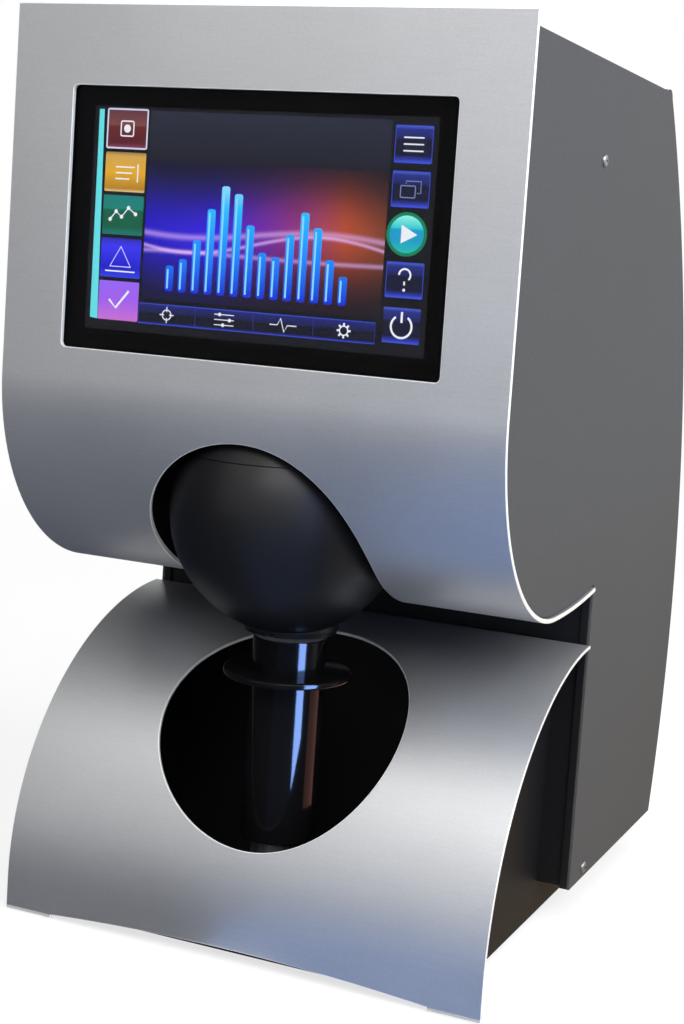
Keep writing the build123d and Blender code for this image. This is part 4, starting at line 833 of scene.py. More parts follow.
class Stage(bpy.types.Operator):
    """Set up the floor, the lights, the world and the camera"""
    bl_idname = "colorimeter.stage"
    bl_label = "Stage"

    def execute(self, context):
        look = context.scene.colorimeter_stage
        context.scene.view_settings.view_transform = "Standard"
        self.world(context.scene, look)
        self.floor(look)
        for name, spot, size, power, tint in LIGHTS:
            self.light(name, spot, size, getattr(look, power), tint)
        bpy.data.objects["top_light"].visible_glossy = False
        for name, *layout, colour, strength in CARDS:
            self.card(name, MIDDLE[1], *layout, getattr(look, colour), strength)
        plunger_only = bpy.data.collections.new("plunger_highlight")
        for name, *layout, colour, strength in PLUNGER_CARDS:
            card = self.card(name, FACE + AXIS_DEPTH * MM, *layout, getattr(look, colour), strength)
            card.light_linking.receiver_collection = plunger_only
        self.camera(context.scene)
        return {"FINISHED"}

    def light(self, name, spot, size, power, tint):
        lamp = bpy.data.lights.new(name, "AREA")
        lamp.shape, lamp.size, lamp.size_y = "RECTANGLE", *size
        lamp.energy, lamp.color = power, tint
        holder = placed(name, lamp)
        holder.location = spot
        holder.rotation_euler = (Vector(MIDDLE) - Vector(spot)).to_track_quat("-Z", "Y").to_euler()

    def card(self, name, centre, start, end, first, last, colour, strength):
        """Curved studio card round the object, seen only in reflections."""
        angles = [math.radians(start + (end - start) * step / 24) for step in range(25)]
        rows = [
            [(radius * math.sin(angle), centre - radius * math.cos(angle), height) for angle in angles]
            for radius, height in (last, first)]
        f = Finish(name)
        piece = backdrop(name, rows, f.end(f.shining(colour, strength)))
        for rays in ("camera", "diffuse", "shadow", "transmission"):
            setattr(piece, f"visible_{rays}", False)
        return piece

    def world(self, scene, look):
        scene.world = bpy.data.worlds.new("studio")
        scene.world.use_nodes = True
        graph = Graph(scene.world.node_tree)
        level = look.ambient + (1.0 - look.ambient) * graph.seen()
        shader = graph.add("ShaderNodeBackground", None, {"Color": WHITE, "Strength": level})
        graph.add("ShaderNodeOutputWorld", None, {"Surface": shader})

    def floor(self, look):
        f = Finish("pale_floor")
        distance = f.add("ShaderNodeVectorMath", {"operation": "LENGTH"}, {0: f.place()}, "Value")
        share = f.seen() * (0.72 + 0.28 * distance.above(1.2, 1.4))
        colour = f.shades(f.noise(300.0), look.floor, 0.985, 1.01)
        matt = f.add("ShaderNodeBsdfDiffuse", None, {"Color": colour})
        shader = f.add("ShaderNodeMixShader", None, {0: share, 1: matt, 2: f.shining(WHITE)})
        backdrop("floor", [[(x, y, 0.0) for x, y in circle(0.0, 0.0, FLOOR_RADIUS, 64)]], f.end(shader))

    def camera(self, scene):
        data = bpy.data.cameras.new("camera")
        data.sensor_fit, data.sensor_width = "AUTO", SENSOR
        data.lens = FOCAL / HIGH * SENSOR
        data.shift_x, data.shift_y = (WIDE / 2 - AIM_X) / HIGH, (AIM_Y - HIGH / 2) / HIGH
        data.clip_start, data.clip_end = 0.05, 60.0
        scene.camera = placed("camera", data)
        scene.camera.matrix_world = Matrix.Translation(EYE) @ Matrix(TURN).to_4x4()


# ---------------------------------------------------------------- front covers
J_START, J_DEPTH, J_BOTTOM = 325.0, 105.0, 207.0
LIP_RADIUS, LIP_END = 472.0, 180.0
WINDOW, WINDOW_CORNER = (-114.0, 114.0, COVER_TOP - 485.4, COVER_TOP - 341.6), 3.0
ARCH_RADIUS, ARCH_BACK, ARCH_HIGH = 68.0, 75.0, 230.0
LOWER_FRONT, LOWER_RADIUS, LOWER_HIGH, LOWER_SWEEP = 29.0, 160.0, 20.0, 86.5
LOWER_FOOT, TAB_WIDTH, RELIEF_LOW, RELIEF_RISE = 1.0, 31.5, 2.0, 5.0
HOLE_RADIUS, HOLE_ANGLE = 76.0, 44.4
BEND_STEP = 2.6


def j_profile(inset=0.0, last=LIP_END, steps=240):
    """Points down the J from the end of its flat front to the lip."""
    points = [
        (J_DEPTH - (J_DEPTH - inset) * c, J_START - (J_START - J_BOTTOM - inset) * s)
        for c, s in circle(0, 0, 1.0, steps + 1, 0, 90)]
    radius = LIP_RADIUS - inset
    reach = math.degrees(math.asin((last - J_DEPTH) / radius))
    return points + circle(J_DEPTH, J_BOTTOM + LIP_RADIUS, radius, 25, -90, reach)[1:]


def front_cover(name, loops, bend, start, sheet, node):
    """A brushed sheet with bright edges, cut into strips from where its bend starts."""
    cuts = [start + BEND_STEP * k for k in range(int((bend.runs[-1] - start) / BEND_STEP))]
    shape = Shape().plate(loops, sheet / MM, 0.0, bend.place, sizes().edge_round / MM, 2, 0, 1, cuts)
    shape.ready(name, "brushed_cover", [satin_aluminium(), cut_edge()], node)


class UpperCover(bpy.types.Operator):
    """Make the J-shaped cover with its screen window and the arch round the dome"""
    bl_idname = "colorimeter.upper_cover"
    bl_label = "Upper cover"

    def execute(self, context):
        bend = Bend([(0.0, COVER_TOP)] + j_profile(), 1)
        end = bend.runs[-1]
        outline = [(-HALF_WIDTH, 0.0), (HALF_WIDTH, 0.0), (HALF_WIDTH, end), (-HALF_WIDTH, end)]
        quarter = circle(0, 0, ARCH_RADIUS, 41, 0, 90)
        half = [(u, bend.find(ARCH_HIGH + v, 1)) for u, v in reversed(quarter)]
        half += [(u, bend.find(ARCH_BACK + v, 0)) for u, v in quarter]
        half = half[:1] + [b for a, b in zip(half, half[1:]) if math.dist(a, b) > 0.05]
        arch = half[:-1] + [(0.0, half[-1][1])] + [(-u, v) for u, v in reversed(half[1:-1])]
        loops = [outline, rounded(*WINDOW, WINDOW_CORNER), arch]
        front_cover(
            "upper_cover", loops, bend, COVER_TOP - J_START, sizes().upper_sheet, "upper_front_cover")
        return {"FINISHED"}


class LowerCover(bpy.types.Operator):
    """Make the quarter-round cover with its sample hole"""
    bl_idname = "colorimeter.lower_cover"
    bl_label = "Lower cover"

    def execute(self, context):
        points = [(LOWER_FRONT, LOWER_FOOT)]
        points += circle(LOWER_FRONT + LOWER_RADIUS, LOWER_HIGH, LOWER_RADIUS, 241, 180, -LOWER_SWEEP)
        bend = Bend(points, -1)
        start, end = bend.runs[1], bend.runs[-1]
        tab = HALF_WIDTH - TAB_WIDTH
        shares = [k / 12 - 1 for k in range(25)]
        relief = [(tab * share, RELIEF_LOW + RELIEF_RISE * (1 - share * share)) for share in shares]
        outline = [(HALF_WIDTH, 0.0), (HALF_WIDTH, end), (-HALF_WIDTH, end), (-HALF_WIDTH, 0.0), (-tab, 0.0)]
        hole = [
            (u, start + LOWER_RADIUS * (math.radians(HOLE_ANGLE) + math.asin(v / LOWER_RADIUS)))
            for u, v in circle(0, 0, HOLE_RADIUS, 120)]
        front_cover("lower_cover", [outline + relief + [(tab, 0.0)], hole], bend, start,
                    sizes().lower_sheet, "lower_front_cover")
        return {"FINISHED"}


# ---------------------------------------------------------------- case
BOW_DEPTH, BOW_HIGH, BOW_RADIUS = -196.4, 170.0, 582.8
PANEL_FRONT, PANEL_BOTTOM, PANEL_SHEET, PANEL_GAP, PANEL_FLANGE = 183.0, 25.0, 2.0, 3.0, 4.5
CORNER = 5.0
INNER = PANEL_OUT - PANEL_SHEET
SCREWS = ((134.0, 467.0), (209.0, 32.0))
SCREW_HOLE, SCREW_LONG, SCREW_SHANK, SCREW_POINT = 2.2, 17.0, 1.9, 1.6
HEAD_WALL = 0.35  # share of a screw head's height below its dome


def bow(z, inset=0.0):
    """Depth of the bowed rear edge at a height."""
    return BOW_DEPTH + math.sqrt((BOW_RADIUS - inset) ** 2 - (z - BOW_HIGH) ** 2)


def rear_edge(inset=0.0):
    """The rear edge from the bottom up to the top, with its round corner."""
    centre = (bow(CASE_TOP, inset) - 0.72 * CORNER, CASE_TOP - CORNER)
    reach = CASE_TOP - 0.75 * CORNER
    heights = [PANEL_BOTTOM + (reach - PANEL_BOTTOM) * k / 64 for k in range(65)]
    points = [(bow(z, inset), z) for z in heights]
    depth, z = points[-1]
    start = math.degrees(math.atan2(z - centre[1], depth - centre[0]))
    points += circle(*centre, math.dist((depth, z), centre), 9, start, 90 - start)[1:]
    points[-1] = (points[-1][0], CASE_TOP)
    return points


class SidePanels(bpy.types.Operator):
    """Make the two flat side panels with their front flanges"""
    bl_idname = "colorimeter.side_panels"
    bl_label = "Side panels"

    def execute(self, context):
        edge = [(PANEL_GAP, CASE_TOP)] + j_profile(PANEL_GAP, PANEL_FRONT, 90)
        loops = [edge + [(PANEL_FRONT, PANEL_BOTTOM)] + rear_edge()]
        loops += [circle(*spot, SCREW_HOLE, 24) for spot in SCREWS]
        for side, name in ((1, "right"), (-1, "left")):
            shape = Shape().plate(loops, side * INNER, side * PANEL_OUT, across, 0.4)
            flange = sorted((side * INNER, side * (INNER - PANEL_FLANGE)))
            shape.block(*flange, PANEL_FRONT, PANEL_FRONT + PANEL_SHEET, PANEL_BOTTOM, edge[-1][1] + 2.6,
                        0.35, 2, 1)
            shape.ready(f"{name}_panel", "grey_paint", [grey_paint(), black_paint()], f"{name}_side_panel")
        return {"FINISHED"}


def pan_head(shape, place, radius, base, top, material=0, dark=1):
    """A domed screw head with a cross recess; it points from base to top."""
    rise = top - base
    outline = [(radius * 0.2, base), (radius, base)]
    outline += [
        (radius * c, base + rise * (HEAD_WALL + (1 - HEAD_WALL) * s)) for c, s in circle(0, 0, 1.0, 7, 0, 72)]
    shape.turned(outline, place, 48, material)
    flat, level = outline[-1]
    arm, blade = radius * 0.5, radius * 0.11
    cross = [
        point for k in range(4) for point in turned_by(((arm, -blade), (arm, blade), (blade, blade)), 90 * k)]
    part = bmesh.new()
    mouth, edges = outlined(part, (circle(0, 0, flat, 48), cross), level)
    bmesh.ops.triangle_fill(part, use_beauty=True, edges=edges)
    crown = set(part.faces)
    floor = [part.verts.new((u * 0.8, v * 0.8, level - 0.55 * rise)) for u, v in cross]
    bridge(part, mouth, floor)
    part.faces.new(floor)
    shape.take(part, place, lambda face: material if face in crown else dark)


class SideScrews(bpy.types.Operator):
    """Make the four cross-recessed screws on the sides"""
    bl_idname = "colorimeter.side_screws"
    bl_label = "Side screws"

    def execute(self, context):
        shape = Shape()
        for side in (1, -1):
            head, tip = side * PANEL_OUT, side * (PANEL_OUT - SCREW_LONG)
            shank = [(0.0, tip), (SCREW_POINT, tip), (SCREW_SHANK, tip + side * 0.6), (SCREW_SHANK, head)]
            for spot in SCREWS:
                pan_head(shape, from_side(*spot), sizes().screw_head / MM, head, side * SCREW_TIP)
                shape.turned(shank, from_side(*spot), 24)
        shape.ready("case_screws", "screw_steel", [plated_screw(), black_paint()], "side_screws")
        return {"FINISHED"}


# ---------------------------------------------------------------- measuring head
DOME_LONG, DOME_ROUND, DOME_TILT = 74.0, 66.0, math.radians(-32.0)
DOME_DEPTH, DOME_HIGH, DOME_SPLIT, SEAT = 67.0, 252.5, 288.0, 187.0
GROOVE, GROOVE_DEEP, CAP_SEAM, CAP_LIP = 0.45, 0.9, 0.05, 1.0
SEAT_BORE, SEAT_OUTER, SEAT_ROUND = 20.6, 28.0, 0.4
COLLAR, COLLAR_BORE, COLLAR_HIGH, COLLAR_FRONT, COLLAR_BACK = 20.0, 10.3, 250.0, 120.0, 141.0
EGG_ROWS, EGG_COLUMNS = 96, 144


def egg_point(turn, round_turn):
    """A point of the egg: turn runs from its rear tip, round_turn about its axis."""
    along, out = DOME_LONG * math.cos(turn), DOME_ROUND * math.sin(turn)
    x, rise = out * math.sin(round_turn), out * math.cos(round_turn)
    c, s = math.cos(DOME_TILT), math.sin(DOME_TILT)
    return (x, DOME_DEPTH + along * c - rise * s, DOME_HIGH + along * s + rise * c)


def egg(*bounds):
    """The skin of the egg; each bound is a height, and 1 or -1 for the side that is cut away."""
    part = bmesh.new()
    rings = [
        [part.verts.new(egg_point(math.pi * row / EGG_ROWS, 2 * math.pi * column / EGG_COLUMNS))
         for column in range(EGG_COLUMNS)]
        for row in range(1, EGG_ROWS)]
    for a, b in zip(rings, rings[1:]):
        bridge(part, a, b)
    for turn, ring in ((0, rings[0]), (math.pi, rings[-1][::-1])):
        tip = part.verts.new(egg_point(turn, 0))
        for k, vert in enumerate(ring):
            part.faces.new((tip, ring[k - 1], vert))
    for height, side in bounds:
        sliced(part, (0, 0, height), (0, 0, side), True)
    shape = Shape()
    shape.take(part, as_is, 0)
    return shape


def section(z, grow=0.0):
    """Middle depth, half depth and half width of the egg's level section at a height."""
    a, b = DOME_LONG + grow, DOME_ROUND + grow
    c, s = math.cos(DOME_TILT), math.sin(DOME_TILT)
    p, q = (c / a) ** 2 + (s / b) ** 2, 2 * c * s * (1 / a ** 2 - 1 / b ** 2)
    r, h = (s / a) ** 2 + (c / b) ** 2, z - DOME_HIGH
    middle = -q * h / (2 * p)
    left = 1 - r * h * h + p * middle * middle
    return DOME_DEPTH + middle, math.sqrt(max(0.0, left / p)), b * math.sqrt(max(0.0, left))


def band(shape, *levels):
    """Joins level sections of the egg, each a height and a growth, into a strip."""
    part = bmesh.new()
    rings = []
    for z, grow in levels:
        depth, half_depth, half_width = section(z, grow)
        rings.append([
            part.verts.new((half_width * c, depth + half_depth * s, z))
            for c, s in circle(0, 0, 1.0, EGG_COLUMNS)])
    for a, b in zip(rings, rings[1:]):
        bridge(part, b, a)
    shape.take(part, as_is, 0)


class Dome(bpy.types.Operator):
    """Make the egg-shaped shell of the measuring head and its cap"""
    bl_idname = "colorimeter.dome"
    bl_label = "Dome"

    def execute(self, context):
        edge = DOME_SPLIT - GROOVE
        shell = egg((SEAT + 1.2, -1), (edge, 1))
        band(shell, (edge, 0.0), (edge, -GROOVE_DEEP), (DOME_SPLIT, -GROOVE_DEEP))
        shell.turned([
            (SEAT_BORE, SEAT + 1.0), (SEAT_BORE, SEAT), (SEAT_OUTER - SEAT_ROUND, SEAT),
            (SEAT_OUTER, SEAT + SEAT_ROUND), (SEAT_OUTER, SEAT + 6.0),
        ], upright(0, AXIS_DEPTH))
        collar = [(COLLAR, COLLAR_FRONT), (COLLAR, COLLAR_BACK), (COLLAR_BORE, COLLAR_BACK)]
        shell.turned(collar, from_front(0, COLLAR_HIGH), 64)
        shell.ready("dome_shell", "dome_black", [dome_black()], "dome_shroud")
        cap = egg((DOME_SPLIT + CAP_SEAM, -1))
        band(cap, (DOME_SPLIT + CAP_SEAM, 0.0), (DOME_SPLIT + 0.02, -CAP_LIP))
        cap.ready("dome_top", "dome_black", [dome_black()], "dome_cap")
        return {"FINISHED"}


APERTURE, PORT, NOTCH = 27.0, 15.0, 2.5
NOTCHES = (30, 150, 270)
LIP_OUTER, LIP_HIGH, LIP_LOW = 20.3, 2.3, 0.3


class Aperture(bpy.types.Operator):
    """Make the turning aperture plate under the dome, with its finger notches"""
    bl_idname = "colorimeter.aperture"
    bl_label = "Aperture plate"

    def execute(self, context):
        rim = []
        for turn in range(0, 360, 2):
            away = min(abs((turn - notch + 180) % 360 - 180) for notch in NOTCHES)
            dent = max(0.0, 1 - (math.radians(away) * APERTURE / NOTCH) ** 2)
            rim += turned_by([(APERTURE - NOTCH * math.sqrt(dent), 0.0)], turn)
        place = upright(0, AXIS_DEPTH)
        shape = Shape().plate([rim, circle(0, 0, PORT, 96)], SEAT - 2.5, SEAT - 0.06, place, 0.3)
        low, high = SEAT - LIP_LOW, SEAT + LIP_HIGH
        shape.turned([(PORT, low), (PORT, high), (LIP_OUTER, high), (LIP_OUTER, low)], place)
        shape.ready("aperture_ring", "aperture_black", [anodised_black()], "aperture_plate", "aperture")
        return {"FINISHED"}


# ---------------------------------------------------------------- plunger
# Outlines of turned pieces, as (radius, height).
SLEEVE = (
    (15.1, 62.6), (15.6, 62.0), (21.3, 62.0), (21.9, 62.6), (21.9, 157.2), (21.6, 157.5), (21.4, 157.5),
    (21.4, 180.3), (20.9, 181.0), (0.0, 181.0),
)
SLEEVE_BORE = ((15.1, 62.6), (15.1, 171.9), (0.0, 171.9))
PAD = ((0.0, 181.0), (20.6, 181.0), (21.0, 181.4), (21.0, 183.3), (20.4, 183.9), (0.0, 184.0))
POST = (
    (0.0, 8.0), (33.4, 8.0), (34.0, 8.6), (34.0, 18.0), (32.0, 20.0), (16.0, 20.0), (15.0, 21.0),
    (15.0, 84.2), (14.2, 85.0), (0.0, 85.0),
)
FLANGE_BORE, FLANGE_RADIUS, FLANGE_LOW, FLANGE_HIGH, FLANGE_ROUND = 21.45, 36.3, 157.5, 161.5, 1.6
POST_SCREWS, POST_SCREW, POST_TOP, POST_SCREW_TOP = 26.0, 2.6, 20.0, 21.9
COIL_LOW, COIL_HIGH, COIL_RADIUS, COIL_TURNS, WIRE = 85.9, 171.0, 11.0, 9, 0.9
COIL_STEP = 9  # degrees


class Plunger(bpy.types.Operator):
    """Make the polished plunger with its flange and pad"""
    bl_idname = "colorimeter.plunger"
    bl_label = "Plunger"

    def execute(self, context):
        place = upright(0, AXIS_DEPTH)
        sleeve = Shape().turned(SLEEVE, place, 128).turned(SLEEVE_BORE, place, 64)
        sleeve = sleeve.ready("plunger_tube", "gloss_black", [gloss_black()], "plunger_sleeve", "plunger")
        outline = [(FLANGE_BORE, FLANGE_LOW)]
        outline += circle(FLANGE_RADIUS, FLANGE_LOW + FLANGE_ROUND, FLANGE_ROUND, 9, -90, 90)
        outline += circle(FLANGE_RADIUS, FLANGE_HIGH - FLANGE_ROUND, FLANGE_ROUND, 9, 0, 90)
        flange = Shape().turned(outline + [(FLANGE_BORE, FLANGE_HIGH)], place, 160, closed=True)
        flange = flange.ready("plunger_disc", "gloss_black", [gloss_black()], "plunger_flange", "plunger")
        pad = Shape().turned(PAD, place)
        pad.ready("plunger_pad", "pad", [soft_pad()], "sample_pad", "plunger")
        for piece in (sleeve, flange):
            bpy.data.collections["plunger_highlight"].objects.link(piece)
        return {"FINISHED"}


class SampleBay(bpy.types.Operator):
    """Finish the black bay behind the lower cover, its post and its spring"""
    bl_idname = "colorimeter.sample_bay"
    bl_label = "Sample bay"

    def execute(self, context):
        dress("base_tray bay_walls bay_bulkhead dome_bay_liner lower_crossbar", black_paint())
        self.spring()
        post = Shape().turned(POST, upright(0, AXIS_DEPTH))
        for spot in circle(0, AXIS_DEPTH, POST_SCREWS, 4, 45):
            pan_head(post, upright(*spot), POST_SCREW, POST_TOP, POST_SCREW_TOP, 1, 2)
        post.ready("plunger_post", "alloy", [alloy(), plated_screw(), black_paint()], "guide_post")
        return {"FINISHED"}

    def spring(self):
        """The coil spring under the plunger's crown."""
        part = bmesh.new()
        rings = []
        steps = COIL_TURNS * 360 // COIL_STEP
        for k in range(steps + 1):
            lift = COIL_LOW + (COIL_HIGH - COIL_LOW) * k / steps
            section = [(*turned_by([(COIL_RADIUS + u, 0.0)], COIL_STEP * k)[0], lift + v)
                       for u, v in circle(0, 0, WIRE, 12)]
            rings.append([part.verts.new(point) for point in section])
        for a, b in zip(rings, rings[1:]):
            bridge(part, a, b)
        part.faces.new(rings[0])
        part.faces.new(rings[-1])
        shape = Shape()
        shape.take(part, upright(0, AXIS_DEPTH), 0)
        piece = shape.ready("plunger_coil", "spring_steel", [spring_steel()], "plunger_spring")
        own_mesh(piece)


# ---------------------------------------------------------------- touch screen
GLASS_FRONT, GLASS_BACK, MODULE_BACK = 2.5, 4.5, 9.5
SCREEN_HIGH = 413.5
ACTIVE = (-102.5, 102.5, SCREEN_HIGH - 60.5, SCREEN_HIGH + 61.5)


class TouchScreen(bpy.types.Operator):
    """Make the touch glass with its printed border, and the display module"""
    bl_idname = "colorimeter.touch_screen"
    bl_label = "Touch screen"

    def execute(self, context):
        outline = about(0, SCREEN_HIGH, 120, 78, 1.5)
        glass = Shape().plate([outline], GLASS_FRONT + 0.01, GLASS_BACK - 0.08, facing, 0.15)
        glass.ready("screen_glass", "screen_glass", [clear_panel()], "touch_glass")
        loops = [about(0, SCREEN_HIGH, 119.5, 77.5, 1.5), rounded(*ACTIVE, 0.6)]
        border = Shape().plate(loops, GLASS_BACK - 0.05, GLASS_BACK, facing)
        border.ready("screen_border", "screen_glass", [border_black()])
        low, high = SCREEN_HIGH - 70, SCREEN_HIGH + 70
        module = Shape().block(-110, 110, GLASS_BACK + 0.25, MODULE_BACK, low, high, 0.3)
        module.ready("display_module", "lcd", [border_black()], "lcd_panel")
        return {"FINISHED"}


# ---------------------------------------------------------------- display
# Shades from bottom to top, each a share of the height and a screen colour.
HUES = (
    (0.0, 22, 6, 190), (0.3, 48, 22, 216), (0.48, 98, 26, 172), (0.66, 140, 44, 120), (0.84, 176, 72, 40),
    (1.0, 120, 60, 34),
)
LEFT_KEYS = (
    ((0.0, 196, 110, 208), (0.5, 158, 92, 232), (1.0, 148, 98, 240)),
    ((0.0, 44, 60, 226), (0.25, 18, 14, 200), (0.8, 52, 48, 236), (1.0, 40, 36, 170)),
    ((0.0, 14, 118, 110), (0.2, 4, 90, 62), (0.62, 2, 92, 66), (0.66, 14, 126, 116), (1.0, 18, 122, 118)),
    ((0.0, 226, 196, 140), (0.08, 176, 126, 30), (0.5, 222, 168, 34), (0.9, 206, 160, 78),
     (1.0, 150, 116, 60)),
    ((0.0, 140, 60, 84), (0.14, 84, 22, 34), (0.55, 98, 34, 30), (0.6, 120, 66, 62), (1.0, 88, 48, 62)),
)
DARK_KEY = (
    (0.0, 58, 84, 222), (0.1, 32, 44, 150), (0.2, 10, 13, 44), (0.6, 9, 12, 40), (0.68, 22, 30, 94),
    (0.9, 30, 42, 128), (1.0, 70, 92, 200),
)
STRIP_KEY = ((0.0, 24, 34, 150), (0.12, 6, 8, 28), (0.5, 6, 8, 26), (0.6, 16, 20, 70), (1.0, 26, 34, 116))
ROUND_KEY = (
    (0.0, 24, 186, 178), (0.35, 12, 150, 196), (0.62, 8, 152, 200), (0.66, 34, 196, 206),
    (1.0, 140, 240, 226),
)
CHART_BAR = ((0.0, 10, 36, 214), (0.35, 18, 130, 250), (0.75, 30, 184, 252), (1.0, 150, 224, 255))
# Where the drawing lies: depths, then places from the middle of the display.
FIELD_DEPTH, KEY_DEPTH, INK_DEPTH, STEP = GLASS_BACK + 0.2, GLASS_BACK + 0.14, GLASS_BACK + 0.08, 0.03
PICTURE_LEFT, PICTURE_RIGHT, PICTURE_LOW, PICTURE_HIGH = -67.0, 76.4, -42.0, 33.0
KEY_LOW, KEY_PITCH, KEY_HIGH = -55.0, 23.4, 21.4
RIGHT_KEYS = ((38.2, 57.0), (15.8, 33.8), (-30.4, -12.4), (-53.8, -35.6))
STRIP_LEFT, STRIP_CELL, STRIP_LOW, STRIP_HIGH = -68.0, 142.2 / 4, -55.2, -44.4
ROUND_X, ROUND_Z, ROUND_OUTER, ROUND_INNER = 88.2, 2.0, 11.3, 9.6
NO_PITCH = 200.0  # longer than the display, so that shades do not repeat
CHART_LEFT, CHART_WIDE, CHART_LOW, CHART_HIGH, CHART_BARS = -50.0, 104.0, -37.0, 62.0, 14


def stops(*rows):
    """Colour stops from rows of a position and a screen colour."""
    return [(position, srgb(*colour)) for position, *colour in rows]


@finish
def picture(f):
    """Dark field with a blue to orange glow and soft light trails."""
    across, _, up = f.axes()
    x, z = across * (1 / MM), up * (1 / MM) - SCREEN_HIGH
    hue = f.ramp((x + 70) / 146, *stops(*HUES))
    swell = 9.0 * (x / 26.0).reckon("SINE", x / 26.0)
    level = z + 6.0 - 0.35 * swell
    colour = f.mix(level.hump(3.0, 20.0), srgb(8, 8, 22), hue)
    trail = level.hump(2.0, 1.5) * 0.5 + (level - 0.35 * swell).hump(-3.0, 0.9) * 0.7
    trail = trail + (level + 0.4 * swell).hump(-9.5, 1.1) * 0.5
    return glow(f, f.mix(trail.held() * 0.75, colour, srgb(236, 190, 255)))


@finish
def header(f):
    """Dark header, a little lighter towards the top."""
    share = upward(f, SCREEN_HIGH + 30, SCREEN_HIGH + 62)
    return glow(f, f.mix(share, srgb(14, 15, 28), srgb(34, 39, 56)))


@finish
def key_face(f, low, pitch, height, *rows):
    """Lit face of the on-screen keys, shaded from bottom to top."""
    return glow(f, f.ramp(upward(f, low, low + height, pitch), *stops(*rows)))


@finish
def lit(f, red, green, blue):
    """Plain lit mark."""
    return glow(f, f.shades(f.noise(900.0, 0.0), srgb(red, green, blue), 0.94, 1.06))


def square(x0, x1, z0, z1):
    """Corners of a rectangle."""
    return [(x0, z0), (x1, z0), (x1, z1), (x0, z1)]


